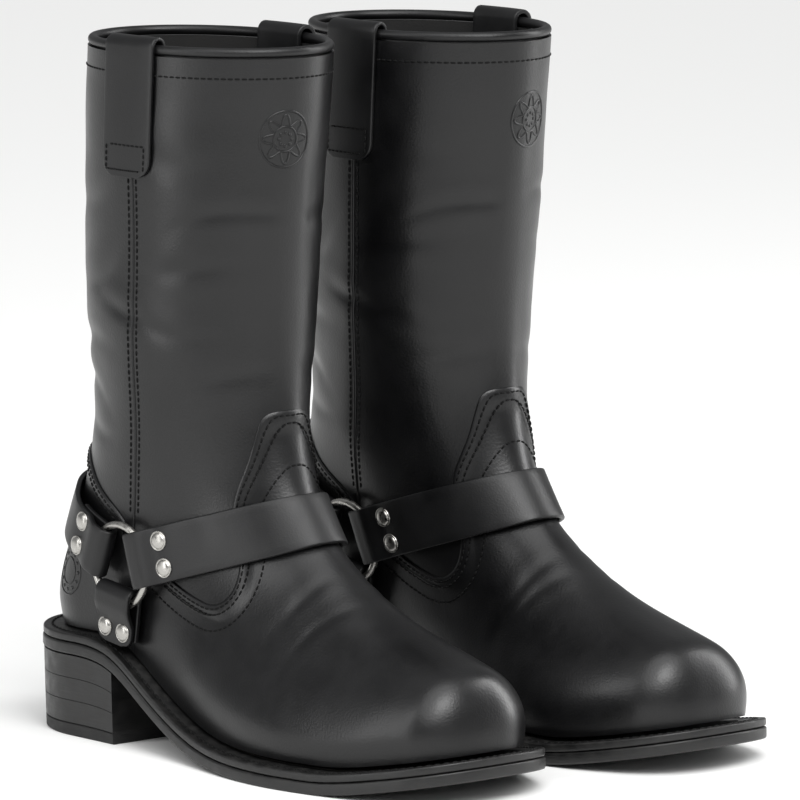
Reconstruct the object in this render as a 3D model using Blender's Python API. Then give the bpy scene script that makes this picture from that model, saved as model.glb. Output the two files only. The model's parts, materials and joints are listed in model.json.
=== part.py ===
"""A pair of pull-on leather harness boots, modelled as the pieces a bootmaker joins.

Frame: metres, +Z up, toes towards -Y, floor at z = 0. The wearer's right boot stands at -X and the
left boot at +X. Both are drawn from one last, in millimetres: f runs forward from behind the heel,
s runs out to the outer side of the foot, z runs up. The left boot mirrors the right one.
"""
import math

import bpy
import numpy as np
from mathutils import Vector

MM = 0.001

# Driving dimensions of one boot, in millimetres
TOPLINE = 338.0          # floor to the rim of the shaft
HEEL_SEAT = 40.0         # floor to the outsole above the heel block
HEEL_LENGTH = 78.0       # back of the last to the heel's breast
TOE_FRONT = 301.0        # front of the upper
TOE_SPRING = 13.0        # how far the outsole's tip rises
OUTSOLE = 5.8            # thickness of the outsole
WELT = 4.0               # thickness of the welt
SOLE_EDGE = 10.5         # how far welt and outsole stand out past the upper
LINING = 1.8
LEATHER = 2.2            # upper leather
GAP = 0.3                # clearance between pieces that touch
# Lifts off the boot's outer surface: the faces of the upper and, inside it, of the lining
PANEL = (-LEATHER, 0.0)
LINED = (-LEATHER - 0.9 - LINING, -LEATHER - 0.9)

# How the pair stands: the left boot's place beside the right one
PAIR_SPREAD = 129.0      # between the boots' centre planes
LEFT_FORWARD = 12.0      # the left boot stands this far ahead

# Side view of the last: the front line down the shaft, over the instep and along the toe
FRONT_POINTS = [(168, 338), (163, 280), (158, 230), (156, 195), (157, 166), (162, 142),
                (175, 115), (202, 92), (234, 75), (264, 65), (292, 57), (330, 44)]
BACK_POINTS = [(32, 338), (30, 290), (29, 240), (31, 195), (32, 165), (27, 135), (16, 105),
               (6, 80), (3, 62), (6, 50)]
# Half widths of the shaft by height, and of the last's feather line by length
SHAFT_WIDTH = [(40, 32), (70, 34), (100, 37), (130, 40), (160, 43.5), (190, 47), (230, 48.5),
               (280, 49.5), (338, 50)]
OUTER_WIDTH = [(0, 34), (60, 35), (90, 36), (120, 39), (150, 44.5), (180, 50), (210, 51.5),
               (235, 48), (260, 42.5), (280, 36.5), (300, 30), (320, 22)]
INNER_WIDTH = [(0, 29), (60, 28), (90, 26), (120, 27), (150, 32), (180, 39), (210, 45),
               (235, 46.5), (260, 42), (280, 34.5), (300, 26), (320, 18)]

# Harness
RING_RADIUS = 19.5       # centre line of the steel ring
RING_WIRE = 1.8          # radius of its wire
RING_SPOT = (82, 88)     # f and z of the ring's centre
FRONT_STRAP_Z = 115      # height where the front strap crosses the instep
HEEL_STRAP_Z = 113       # height where the heel strap crosses the back
SIDE_STRAP_REACH = 39.0  # from the ring's centre down to the side strap's end
SIDE_STRAP_LEAN = 8.0    # degrees that it leans back from upright
STRAP = 2.5              # strap leather
FRONT_STRAP = (27.0, 13.3)   # its width, and how far from the ring's centre its fold starts
SHORT_STRAP = (24.6, 14.55)  # the same of the heel and side straps
RIVET_RADIUS = 4.0
RIVET_HEIGHT = 2.2
RIVET_ROW = 13.2         # between the two rivets of a strap's end

# Rim
PIPING_RADIUS = 2.4
PULL_STRAP = 2.2         # thickness
PULL_STRAP_WIDTH = 33.0
PULL_STRAP_REACH = 61.0  # how far down the shaft a pull strap's outer leg runs


def ease(x, low, high):
    """0 below low, 1 above high, smooth between."""
    t = np.clip((np.asarray(x, float) - low) / (high - low), 0, 1)
    return t * t * (3 - 2 * t)


def spline(points, count):
    """A natural cubic curve through the points, read at count even steps of chord length."""
    p = np.array(points, float)
    knots = np.r_[0, np.cumsum(np.linalg.norm(np.diff(p, axis=0), axis=1))]
    h = np.diff(knots)
    n = len(p)
    system = np.eye(n)
    right = np.zeros_like(p)
    for i in range(1, n - 1):
        system[i, i - 1:i + 2] = h[i - 1], 2 * (h[i - 1] + h[i]), h[i]
        right[i] = 6 * ((p[i + 1] - p[i]) / h[i] - (p[i] - p[i - 1]) / h[i - 1])
    bend = np.linalg.solve(system, right)
    x = np.linspace(0, knots[-1], count)
    i = np.clip(np.searchsorted(knots, x) - 1, 0, n - 2)
    a, b, span = (knots[i + 1] - x)[:, None], (x - knots[i])[:, None], h[i][:, None]
    return ((bend[i] * a ** 3 + bend[i + 1] * b ** 3) / (6 * span)
            + (p[i] / span - bend[i] * span / 6) * a + (p[i + 1] / span - bend[i + 1] * span / 6) * b)


def graph(points):
    """A smooth function through points (x, y)."""
    line = spline(points, 240)
    return lambda x: np.interp(x, line[:, 0], line[:, 1])


def unit(v):
    return v / np.maximum(np.linalg.norm(v, axis=-1, keepdims=True), 1e-9)


# ---------------------------------------------------------------- the last
FRONT = spline(FRONT_POINTS, 420)
BACK = spline(BACK_POINTS, 320)
shaft_width = graph(SHAFT_WIDTH)
outer_width = graph(OUTER_WIDTH)
inner_width = graph(INNER_WIDTH)
underside = graph([(-20, HEEL_SEAT), (40, HEEL_SEAT), (74, HEEL_SEAT - 3), (97, 0.62 * HEEL_SEAT),
                   (122, 0.30 * HEEL_SEAT), (152, 0.08 * HEEL_SEAT), (182, 0.4), (207, 0),
                   (238, 0.1), (268, 0.3 * TOE_SPRING), (315, TOE_SPRING)])


def feather(f):
    """Height of the line where the upper meets the welt."""
    return np.maximum(underside(f), 0) + OUTSOLE + WELT + 2 * GAP


def depth(line, inward, f, z):
    """Distance of side-view points behind a line, and the nearest point on it."""
    points = np.stack([f, z], -1)
    near = ((points[:, None] - line) ** 2).sum(-1).argmin(-1)
    along = np.gradient(line, axis=0)[near]
    normal = inward * unit(np.stack([along[:, 1], -along[:, 0]], -1))
    return ((points - line[near]) * normal).sum(-1), line[near]


def fullness(f, z):
    """0 where the last is at its full width, 1 on its outline in side view."""
    front_depth, at_front = depth(FRONT, 1, f, z)
    back_depth, at_back = depth(BACK, -1, f, z)
    on_shaft = ease(at_front[:, 1], 120, 200)
    crown = np.clip(at_front[:, 1] - feather(at_front[:, 0]), 20, 95)
    front_round = 66 * on_shaft + crown * (1 - on_shaft)
    back_round = 36 + 28 * ease(at_back[:, 1], 80, 190)
    power = 2 + 0.5 * ease(f, 200, 290)
    total = sum(np.clip(1 - d / r, 0, None) ** power for d, r in
                ((front_depth, front_round), (back_depth, back_round), (TOE_FRONT - f, 20.0)))
    return total, power


def half_width(f, z, plan):
    total, power = fullness(f, z)
    height = z - feather(f)
    bulge = 3.2 * np.sin(np.pi * np.clip(height / 45, 0, 1)) * ease(f, 90, 170)
    up = ease(height, 8, 105)
    return ((plan(f) + bulge) * (1 - up) + shaft_width(z) * up) * np.clip(1 - total, 0, None) ** (1 / power)


def line_at(line, z):
    return np.interp(-z, -line[:, 1], line[:, 0])


def on_line(line, index):
    return np.array([np.interp(index, np.arange(len(line)), line[:, k]) for k in (0, 1)])


def ring_ends(v):
    """Where ring v starts on the back line and ends on the front line. Rings go level down the
    shaft and then turn to follow the feather line: v is 0 at the topline and 1 at the welt."""
    level, ankle = 0.46, 200.0
    if v < level:
        z = TOPLINE + (ankle - TOPLINE) * v / level
        return np.array([line_at(BACK, z), z]), np.array([line_at(FRONT, z), z]), 0.0
    down = (v - level) / (1 - level)
    back_start = np.interp(-ankle, -BACK[:, 1], np.arange(len(BACK)))
    front_start = np.interp(-ankle, -FRONT[:, 1], np.arange(len(FRONT)))
    front_end = np.interp(TOE_FRONT, FRONT[-150:, 0], np.arange(len(FRONT) - 150, len(FRONT)))
    back = on_line(BACK, back_start + (len(BACK) - 1 - back_start) * down)
    step = np.linalg.norm(FRONT[1] - FRONT[0])
    toe_top = on_line(FRONT, front_end)
    toe_face = (toe_top[1] - feather(TOE_FRONT)) / step
    index = front_start + (front_end - front_start + toe_face) * down
    front = on_line(FRONT, min(index, front_end))
    front[1] -= max(index - front_end, 0) * step
    return back, front, float(ease(down, 0.12, 1))


HALF = 48                # columns of the surface table on each side of a boot
ROWS = 120


def ring(v):
    """Points of ring v in side view, from the back to the front."""
    back, front, turn_down = ring_ends(v)
    t = np.linspace(-0.02, 1.04, 400)
    f = back[0] + (front[0] - back[0]) * t
    above_back = back[1] - feather(back[0])
    above_front = front[1] - feather(front[0])
    z = (back[1] + (front[1] - back[1]) * t) * (1 - turn_down)
    z = z + turn_down * (feather(f) + above_back + (above_front - above_back) * t)
    total = fullness(f, z)[0]
    inside = np.where(total < 1)[0]
    first, last = inside[0], inside[-1]

    def crossing(i, j):
        return t[i] + (t[j] - t[i]) * (1 - total[i]) / (total[j] - total[i])

    start = crossing(first, first - 1) if first else t[0]
    end = crossing(last, last + 1) if last < len(t) - 1 else t[-1]
    spread = start + (end - start) * (1 - np.cos(np.linspace(0, np.pi, HALF + 1))) / 2
    return np.interp(spread, t, f), np.interp(spread, t, z)


def surface_table():
    """Points of the last: rows from topline to welt, columns once around from the back over the
    outer side to the front and home along the inner side."""
    rows = []
    for v in np.linspace(0, 1, ROWS + 1):
        f, z = ring(v)
        outer = np.stack([f, half_width(f, z, outer_width), z], -1)
        inner = np.stack([f, -half_width(f, z, inner_width), z], -1)
        rows.append(np.concatenate([outer, inner[-2:0:-1]]))
    return np.array(rows)


def relax(table, passes):
    """Evens out the small steps that the search for ring ends leaves."""
    for _ in range(passes):
        table[1:-1] = 0.5 * table[1:-1] + 0.25 * (table[:-2] + table[2:])
    return table


TABLE = relax(surface_table(), 3)
COLUMNS = TABLE.shape[1]


def table_normals():
    around = np.roll(TABLE, -1, 1) - np.roll(TABLE, 1, 1)
    down = np.gradient(TABLE, axis=0)
    return unit(np.cross(around, down))


NORMALS = table_normals()


def sample(table, turn, v):
    """Reads a table between its points. turn runs 0 to 2 once around, v runs 0 to 1 down."""
    column = (np.asarray(turn, float) % 2) * COLUMNS / 2
    row = np.clip(np.asarray(v, float), 0, 1) * ROWS
    i = np.clip(row.astype(int), 0, ROWS - 1)
    j = column.astype(int) % COLUMNS
    a, b = (row - i)[..., None], (column - column.astype(int))[..., None]
    k = (j + 1) % COLUMNS
    return ((table[i, j] * (1 - b) + table[i, k] * b) * (1 - a)
            + (table[i + 1, j] * (1 - b) + table[i + 1, k] * b) * a)


def skin(turn, v, lift=0.0):
    """Point of the last's surface, lifted off it."""
    lift = np.asarray(lift, float)[..., None]
    return sample(TABLE, turn, v) + unit(sample(NORMALS, turn, v)) * lift


def spot(f, z, side=1):
    """turn and v of the side-view point (f, z) on the outer (1) or inner (-1) side."""
    half = TABLE[:, :HALF + 1]
    u = np.linspace(0, 1, HALF + 1)
    rows = np.linspace(0, 1, ROWS + 1)
    found = []
    for one_f, one_z in zip(np.atleast_1d(f), np.atleast_1d(z)):
        us = np.array([np.interp(one_f, row[:, 0], u) for row in half])
        zs = np.array([np.interp(x, u, row[:, 2]) for x, row in zip(us, half)])
        v = np.interp(-one_z, -zs, rows)
        found.append((np.interp(v, rows, us), v))
    turn, v = np.array(found).T
    return (turn if side > 0 else 2 - turn), v


# ---------------------------------------------------------------- solids
def slab(top, bottom, around=False):
    """Points and faces of the closed solid between two grids (rows x columns x 3)."""
    rows, columns = top.shape[:2]
    points = np.concatenate([top.reshape(-1, 3), bottom.reshape(-1, 3)])
    spans = columns if around else columns - 1

    def at(layer, i, j):
        return (layer * rows + i) * columns + j % columns

    faces = []
    for j in range(spans):
        for i in range(rows - 1):
            faces.append((at(0, i, j), at(0, i, j + 1), at(0, i + 1, j + 1), at(0, i + 1, j)))
            faces.append((at(1, i, j), at(1, i + 1, j), at(1, i + 1, j + 1), at(1, i, j + 1)))
        faces.append((at(0, 0, j), at(1, 0, j), at(1, 0, j + 1), at(0, 0, j + 1)))
        last = rows - 1
        faces.append((at(0, last, j), at(0, last, j + 1), at(1, last, j + 1), at(1, last, j)))
    if not around:
        for i in range(rows - 1):
            faces.append((at(0, i, 0), at(0, i + 1, 0), at(1, i + 1, 0), at(1, i, 0)))
            last = columns - 1
            faces.append((at(0, i, last), at(1, i, last), at(1, i + 1, last), at(0, i + 1, last)))
    return points, faces


def finish(name, color, roughness, metallic=0.0):
    made = bpy.data.materials.new(name)
    made.use_nodes = True
    shader = made.node_tree.nodes["Principled BSDF"]
    shader.inputs["Base Color"].default_value = (*color, 1)
    shader.inputs["Roughness"].default_value = roughness
    shader.inputs["Metallic"].default_value = metallic
    return made


class Boot:
    """One boot's empty and the helpers that put pieces on it."""

    def __init__(self, name, outward, place):
        self.name, self.outward = name, outward
        self.empty = bpy.data.objects.new(name, None)
        self.empty.location = place
        bpy.context.collection.objects.link(self.empty)

    def local(self, points):
        """(f, s, z) in millimetres to the empty's frame in metres."""
        p = np.asarray(points, float) * MM
        return np.stack([self.outward * p[..., 1], -p[..., 0], p[..., 2]], -1)

    def add(self, name, mesh, look):
        piece = bpy.data.objects.new(f"{self.name}_{name}", mesh)
        piece.parent = self.empty
        bpy.context.collection.objects.link(piece)
        mesh.materials.clear()
        mesh.materials.append(look)
        return piece

    def solid(self, name, solid, look, smooth=True):
        points, faces = solid
        mesh = bpy.data.meshes.new(f"{self.name}_{name}")
        mesh.from_pydata(self.local(points).tolist(), [], faces)
        if self.outward < 0:
            mesh.flip_normals()
        volume = signed_volume(mesh)
        if volume < 0:
            mesh.flip_normals()
        if smooth:
            mesh.shade_smooth()
            mesh.set_sharp_from_angle(angle=math.radians(40))
        return self.add(name, mesh, look)


def signed_volume(mesh):
    """Six times the volume that the faces enclose, negative when they point inwards."""
    mesh.calc_loop_triangles()
    return sum(
        Vector.dot(mesh.vertices[a].co, Vector.cross(mesh.vertices[b].co, mesh.vertices[c].co))
        for a, b, c in (t.vertices for t in mesh.loop_triangles))


# ---------------------------------------------------------------- uppers
SEAM = [(100, 338), (100, 266), (98, 217), (95, 169), (88, 125), (84, 100)]   # side seam in side view
TOPLINE_V = 0.009        # the panels stop just under the piping
WELT_V = 0.996           # and just above the welt
LINING_END = 0.53        # the shaft's lining ends at the ankle
SLIT = 0.5               # half the gap between neighbouring panels, in millimetres
JOIN = (84, 100)         # where shaft, vamp and counter meet behind the ring
# Edge of the vamp in side view: from the join, down round the lobe and up the tongue
THROAT = [JOIN, (101, 89), (119, 80), (131, 76), (142, 75), (151, 80), (155, 93), (152, 112),
          (150, 130), (151, 147), (153.2, 160), (155.8, 168.5), (157.5, 171.5)]
THROAT_COUNT = 13        # columns from the join to the front, shared by the two panels that meet there
# Top edge of the counter: from the join up to the back
COUNTER_TOP = [JOIN, (79, 108), (68, 117), (56, 126), (44, 136), (30, 143)]


def edge(points, side, meet, count, shift):
    """turn and v of stations evenly spaced along an edge drawn in side view, moved to its left by
    millimetres. The edge ends on the centre plane, where turn is meet."""
    line = spline(points, 90)
    turn, v = spot(line[:, 0], line[:, 1], side)
    turn[-1] = meet
    steps = np.linalg.norm(np.diff(skin(turn, v), axis=0), axis=1)
    even = np.interp(np.linspace(0, 1, count), np.r_[0, steps.cumsum()] / steps.sum(), np.arange(90))
    along = unit(np.gradient(line, axis=0))
    turn, v = spot(line[:, 0] - shift * along[:, 1], line[:, 1] + shift * along[:, 0], side)
    turn[-1] = meet
    return np.interp(even, np.arange(90), turn), np.interp(even, np.arange(90), v)


def over_front(points, count, shift):
    """An edge on both sides, joined on the centre plane at the front: outer to inner."""
    (a, p), (b, q) = (edge(points, side, 1.0, count, shift) for side in (1, -1))
    return np.r_[a, b[-2::-1]], np.r_[p, q[-2::-1]]


def over_back(points, count, shift):
    """An edge on both sides, joined on the centre plane at the back: inner to outer."""
    (a, p), (b, q) = (edge(points, side, 1 - side, count, shift) for side in (1, -1))
    return np.r_[b - 2, a[-2::-1]], np.r_[q, p[-2::-1]]


def seam_turns(v, side, shift):
    """turn of the side seam at each v, shifted forward by millimetres."""
    line = spline(SEAM, 60)
    turns, vs = spot(line[:, 0] + shift, line[:, 1], side)
    return np.interp(v, vs, turns)


def panel(upper, lower, rows, crowd=1.0, first=None, last=None):
    """A sheet between two edges, each (turn, v) with the same number of columns. crowd under 1
    sets the rows closer near the lower edge, over 1 near the upper. first and last give the turn
    of the end columns at each v, where they don't run straight."""
    k = np.linspace(0, 1, rows)[:, None] ** crowd
    c = np.linspace(0, 1, len(upper[0]))
    turn = upper[0] * (1 - k) + lower[0] * k
    v = upper[1] * (1 - k) + lower[1] * k
    if first:
        for seam, end, weight in ((first, 0, 1 - c), (last, -1, c)):
            bow = seam(v[:, end]) - turn[:, end]
            bow -= bow[0] + (bow[-1] - bow[0]) * k[:, 0]
            turn = turn + bow[:, None] * weight
    return slab(skin(turn, v, PANEL[1]), skin(turn, v, PANEL[0]))


def shaft_front():
    count = THROAT_COUNT
    lower = over_front(THROAT, count, SLIT)
    lower[0][0], lower[0][-1] = (seam_turns(lower[1][0], side, SLIT) for side in (1, -1))
    upper = (np.linspace(seam_turns(TOPLINE_V, 1, SLIT), seam_turns(TOPLINE_V, -1, SLIT), 2 * count - 1),
             np.full(2 * count - 1, TOPLINE_V))
    return panel(upper, lower, 12, 0.8, lambda v: seam_turns(v, 1, SLIT),
                 lambda v: seam_turns(v, -1, SLIT))


def shaft_back():
    count = 7
    lower = over_back(COUNTER_TOP, count, -SLIT)
    lower[0][0] = seam_turns(lower[1][0], -1, -SLIT) - 2
    lower[0][-1] = seam_turns(lower[1][-1], 1, -SLIT)
    upper = (np.linspace(seam_turns(TOPLINE_V, -1, -SLIT) - 2, seam_turns(TOPLINE_V, 1, -SLIT),
                         2 * count - 1), np.full(2 * count - 1, TOPLINE_V))
    return panel(upper, lower, 12, 0.8, lambda v: seam_turns(v, -1, -SLIT) - 2,
                 lambda v: seam_turns(v, 1, -SLIT))


def welt_turn(f, side):
    turn, _ = spot(f, feather(f), side)
    return float(turn[0])


def vamp():
    count = THROAT_COUNT
    upper = over_front(THROAT, count, -SLIT)
    back = JOIN[0] + SLIT
    spread = np.linspace(0, 1, 2 * count - 1)
    spread = spread + 0.06 * np.sin(2 * np.pi * spread)
    outer, inner = welt_turn(back, 1), welt_turn(back, -1)
    lower = outer + (inner - outer) * spread, np.full(2 * count - 1, WELT_V)
    return panel(upper, lower, 12, 1.25)


def counter():
    count = 7
    upper = over_back(COUNTER_TOP, count, SLIT)
    back = JOIN[0] - SLIT
    lower = (np.linspace(welt_turn(back, -1) - 2, welt_turn(back, 1), 2 * count - 1),
             np.full(2 * count - 1, WELT_V))
    return panel(upper, lower, 6)


def shaft_lining():
    """Ends at the ankle; the foot's own lining is part of the vamp here."""
    turn, v = np.meshgrid(np.linspace(0, 2, 32, endpoint=False),
                          LINING_END * np.linspace(TOPLINE_V / LINING_END, 1, 11) ** 0.85)
    return slab(skin(turn, v, LINED[1]), skin(turn, v, LINED[0]), around=True)


# ---------------------------------------------------------------- bottom
def plan_loop(lift):
    """The feather line in plan, moved out by lift: (f, s) once around like the surface table."""
    loop = TABLE[-1, :, :2]
    along = unit(np.roll(loop, -1, 0) - np.roll(loop, 1, 0))
    out = np.stack([along[:, 1], -along[:, 0]], -1)
    if ((loop - loop.mean(0)) * out).sum() < 0:
        out = -out
    return loop + lift * out


def across(lift, level, step=2):
    """Stations from heel to toe: the loop's outer and inner point at each, at a level of f."""
    loop = plan_loop(lift)
    i = np.r_[1, np.arange(2, HALF - 1, step), HALF - 1]
    pair = np.stack([loop[i], loop[COLUMNS - i]], 1)
    return np.concatenate([pair, level(pair[..., 0])[..., None]], -1)


def outsole():
    return slab(across(SOLE_EDGE, lambda f: np.maximum(underside(f), 0) + OUTSOLE),
                across(SOLE_EDGE, lambda f: np.maximum(underside(f), 0)))


def insole():
    return slab(across(-3.6, lambda f: feather(f) - GAP), across(-3.6, lambda f: feather(f) - GAP - WELT))


def welt():
    rings = [plan_loop(lift)[::2] for lift in (SOLE_EDGE, -3.0)]
    flat = np.array(rings)
    top = np.concatenate([flat, (feather(flat[..., 0]) - GAP)[..., None]], -1)
    return slab(top, top - [0, 0, WELT], around=True)


def heel_block():
    """The heel, narrower at the floor, cut straight at the breast."""
    def outline(lift):
        stations = across(lift, lambda f: 0 * f, step=2)
        before = stations[stations[:, 0, 0] < HEEL_LENGTH - 2]
        cut = [[HEEL_LENGTH, np.interp(HEEL_LENGTH, stations[:, side, 0], stations[:, side, 1]), 0]
               for side in (0, 1)]
        return np.concatenate([before, [cut]])

    top, bottom = outline(SOLE_EDGE - 0.5), outline(SOLE_EDGE - 1.5)
    rows = min(len(top), len(bottom))
    top, bottom = np.concatenate([top[:rows - 1], top[-1:]]), np.concatenate([bottom[:rows - 1], bottom[-1:]])
    sole = across(SOLE_EDGE, underside).reshape(-1, 3)
    sole = sole[sole[:, 0].argsort()]
    top[..., 2] = np.interp(top[..., 0], sole[:, 0], sole[:, 2]) - 1.5 * GAP
    return slab(top, bottom)


# ---------------------------------------------------------------- harness
WIRE_ROOM = RING_WIRE + 0.55 + STRAP / 2      # strap centre line to ring plane, inside a loop
STRAP_CLEAR = 1.35                            # from the uppers to a strap's underside
ON_LEATHER = STRAP_CLEAR + STRAP / 2       # lift of the centre line of a strap lying on leather
RETURN_END = 38.0        # how far from the ring's centre a strap's turned-under end reaches
RIVET_SPOT = 32.0        # and how far out its rivets sit


def frame_at(side):
    """Centre and axes of a ring: forward and up in its plane, and out. The plane lies along the
    leather under the ring and clears its highest point."""
    angle = np.linspace(0, 2 * np.pi, 12, endpoint=False)
    turn, v = spot(np.r_[RING_SPOT[0], RING_SPOT[0] + RING_RADIUS * np.cos(angle)],
                   np.r_[RING_SPOT[1], RING_SPOT[1] + RING_RADIUS * np.sin(angle)], side)
    under = skin(turn, v)
    out = unit(sample(NORMALS, turn, v).mean(0))
    centre = under[0] + out * (((under - under[0]) @ out).max() + ON_LEATHER + WIRE_ROOM)
    forward = unit(np.cross(out, [0, 0, 1.0])) * -side
    up = np.cross(out, forward)
    if up[2] < 0:
        up = -up
    return centre, forward, up, out


def clearance(points):
    """Distance of points outside the last, by the nearest point of its surface."""
    flat = TABLE.reshape(-1, 3)
    normals = NORMALS.reshape(-1, 3)
    near = ((points[:, None] - flat) ** 2).sum(-1).argmin(-1)
    return ((points - flat[near]) * normals[near]).sum(-1)


def short_of_leather(points, normals, sideways, width):
    """How far each station of a strip must rise for its underside to clear the uppers."""
    probe = np.linspace(-0.5, 0.5, 7)[:, None]
    short = [STRAP_CLEAR - clearance(point - normal * STRAP / 2 + cross * width * probe).min()
             for point, normal, cross in zip(points, normals, sideways)]
    return np.maximum(short, 0)


def strap_half(side, end, width, first, length=None):
    """Stations of a strap from its far end to the ring and back under itself: centre points,
    directions across, and how far from the ring's centre the upper layer's stations lie.
    end is its far point in side view; first is where its fold starts."""
    centre, forward, up, out = frame_at(side)
    t = np.sin(np.linspace(0, np.pi / 2, 80))
    f = RING_SPOT[0] + (end[0] - RING_SPOT[0]) * t
    z = RING_SPOT[1] + (end[1] - RING_SPOT[1]) * t
    turn, v = spot(f, z, side)
    laid = skin(turn, v, ON_LEATHER)
    normals = unit(sample(NORMALS, turn, v))
    away = np.r_[0, np.cumsum(np.linalg.norm(np.diff(laid, axis=0), axis=1))]
    total = length or away[-1]
    heading = laid[np.searchsorted(away, 35.0)] - centre
    heading = unit(heading - heading.dot(out) * out)

    flat_across = np.cross(out, heading)

    def base(r):
        """Centre line, outward normal and direction across of a strap on the leather at r."""
        on = np.stack([np.interp(r, away, laid[:, k]) for k in range(3)], -1)
        normal = unit(np.stack([np.interp(r, away, normals[:, k]) for k in range(3)], -1))
        mix = ease(r, 22, 46)[:, None]
        flat = centre + heading * r[:, None] - out * WIRE_ROOM
        line, normal = flat * (1 - mix) + on * mix, unit(out * (1 - mix) + normal * mix)
        across = unit(np.cross(normal, np.gradient(line, axis=0)))
        across *= np.sign(across @ flat_across)[:, None]
        turned = ease(r, 37, 55)[:, None]
        across = unit(flat_across * (1 - turned) + across * turned)
        return line + normal * short_of_leather(line, normal, across, width)[:, None], normal, across

    over = np.r_[first, 18, 21.5, 25, 27.5, 36.5, 41, 46]
    over = over[over < total - 3]
    over = np.r_[over, np.linspace(over[-1], total, int(max((total - over[-1]) / 6, 1)) + 1)[1:]]
    lift = 2 * WIRE_ROOM + (STRAP + 2 * GAP - 2 * WIRE_ROOM) * ease(over, 21, 28)
    if not length:
        lift = lift * (1 - ease(over, RETURN_END - 1, RETURN_END + 9))
    on, normal, across_outer = base(over)
    outer = on + normal * lift[:, None]
    back = np.r_[first, 18, 24, 30, min(RETURN_END, total - 3)]
    under = base(back)[0]
    angles = np.linspace(0, np.pi, 7)[1:-1, None]
    pivot = centre + heading * first
    fold = pivot + out * WIRE_ROOM * np.cos(angles) - heading * WIRE_ROOM * np.sin(angles)
    points = np.concatenate([outer[::-1], fold, under])
    turns = np.repeat(flat_across[None], len(fold) + len(under), 0)
    return points, np.concatenate([across_outer[::-1], turns]), over[::-1]


def band(points, sideways, width):
    """A flat strip along points; each end is square."""
    along = np.gradient(points, axis=0)
    normal = unit(np.cross(along, sideways))
    offset = sideways * width / 2
    low, high = points - normal * STRAP / 2, points + normal * STRAP / 2
    return (slab(np.stack([high - offset, high + offset], 1), np.stack([low - offset, low + offset], 1)))


def rivet_seats(points, sideways, away):
    """Where two rivets sit side by side on a strap's upper layer: (point, outward normal)."""
    count = len(away)
    at = [np.array([np.interp(r, away[::-1], points[:count][::-1, k]) for k in range(3)])
          for r in (RIVET_SPOT - 2, RIVET_SPOT, RIVET_SPOT + 2)]
    cross = unit(np.array([np.interp(RIVET_SPOT, away[::-1], sideways[:count][::-1, k])
                           for k in range(3)]))
    out = unit(np.cross(at[2] - at[0], cross))
    if clearance(at[1][None] + out) < clearance(at[1][None]):
        out = -out
    return [(at[1] + out * (STRAP / 2 + GAP) + cross * RIVET_ROW / 2 * way, out) for way in (-1, 1)]


def strap_across(end, width, first):
    """A strap from ring to ring over the front or the back, and the rivet seats at its two ends."""
    points, sideways, seats = [], [], []
    for side in (1, -1):
        line, cross, away = strap_half(side, end, width, first)
        seats.append(rivet_seats(line, cross, away))
        points.append(line)
        sideways.append(cross)
    if sideways[0][0] @ sideways[1][0] < 0:
        sideways[1] = -sideways[1]
    middle = (points[0][0] + points[1][0]) / 2
    points = np.concatenate([points[0][:0:-1], [middle], points[1][1:]])
    sideways = np.concatenate([sideways[0][:0:-1], sideways[1]])
    return band(points, sideways, width), seats


def strap_down(side, width, first):
    """The short strap from a ring down to the welt, and its rivet seats."""
    lean = math.radians(SIDE_STRAP_LEAN)
    end = (RING_SPOT[0] - 60 * math.sin(lean), RING_SPOT[1] - 60 * math.cos(lean))
    line, cross, away = strap_half(side, end, width, first, SIDE_STRAP_REACH)
    return band(line, cross, width), rivet_seats(line, cross, away)


# ---------------------------------------------------------------- rim
def rim_point(turn, lift, z):
    """A point by the rim; above the topline it stands straight up."""
    v = np.interp(TOPLINE - np.minimum(z, TOPLINE), (TOPLINE - TABLE[:, HALF // 2, 2]),
                  np.linspace(0, 1, ROWS + 1))
    rise = np.maximum(z - TOPLINE, 0)
    return skin(turn, v, lift) + np.stack([0 * rise, 0 * rise, rise], -1)


def pull_strap(side):
    """A loop of strap over the rim: up the outside, over the piping and down the lining."""
    turns, _ = spot([SEAM[0][0] - PULL_STRAP_WIDTH / 2, SEAM[0][0] + PULL_STRAP_WIDTH / 2],
                    [TOPLINE - 8] * 2, side)
    turn = np.linspace(*turns, 4)
    outside = 0.5 + PULL_STRAP / 2
    inside = LINED[0] - 0.5 - PULL_STRAP / 2
    middle, radius = (outside + inside) / 2, (outside - inside) / 2
    line = [(outside, z) for z in np.linspace(TOPLINE - PULL_STRAP_REACH, TOPLINE - 4, 5)]
    line += [(middle + radius * math.cos(a), TOPLINE + 1 + radius * math.sin(a))
             for a in np.linspace(0, math.pi, 7)]
    line += [(inside, z) for z in np.linspace(TOPLINE - 4, TOPLINE - PULL_STRAP_REACH + 14, 4)]
    line = np.array(line)
    along = unit(np.gradient(line, axis=0))
    normal = np.stack([along[:, 1], -along[:, 0]], -1) * PULL_STRAP / 2
    faces = []
    for path in (line + normal, line - normal):
        lift, z = np.repeat(path[:, 0:1], 4, 1), np.repeat(path[:, 1:2], 4, 1)
        faces.append(rim_point(turn[None] + 0 * lift, lift, z))
    return slab(*faces)


def piping(boot, look):
    """The rolled leather edge: a round tube along the rim."""
    turn = np.linspace(0, 2, 32, endpoint=False)
    line = boot.local(rim_point(turn, LINED[0] / 2 + 0 * turn, TOPLINE + 0 * turn))
    curve = bpy.data.curves.new(f"{boot.name}_topline_piping", "CURVE")
    curve.dimensions = "3D"
    curve.bevel_depth = PIPING_RADIUS * MM
    curve.bevel_resolution = 1
    run = curve.splines.new("POLY")
    run.points.add(len(line) - 1)
    for point, where in zip(run.points, line):
        point.co = (*where, 1)
    run.use_cyclic_u = True
    return boot.add("topline_piping", curve, look)


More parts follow.
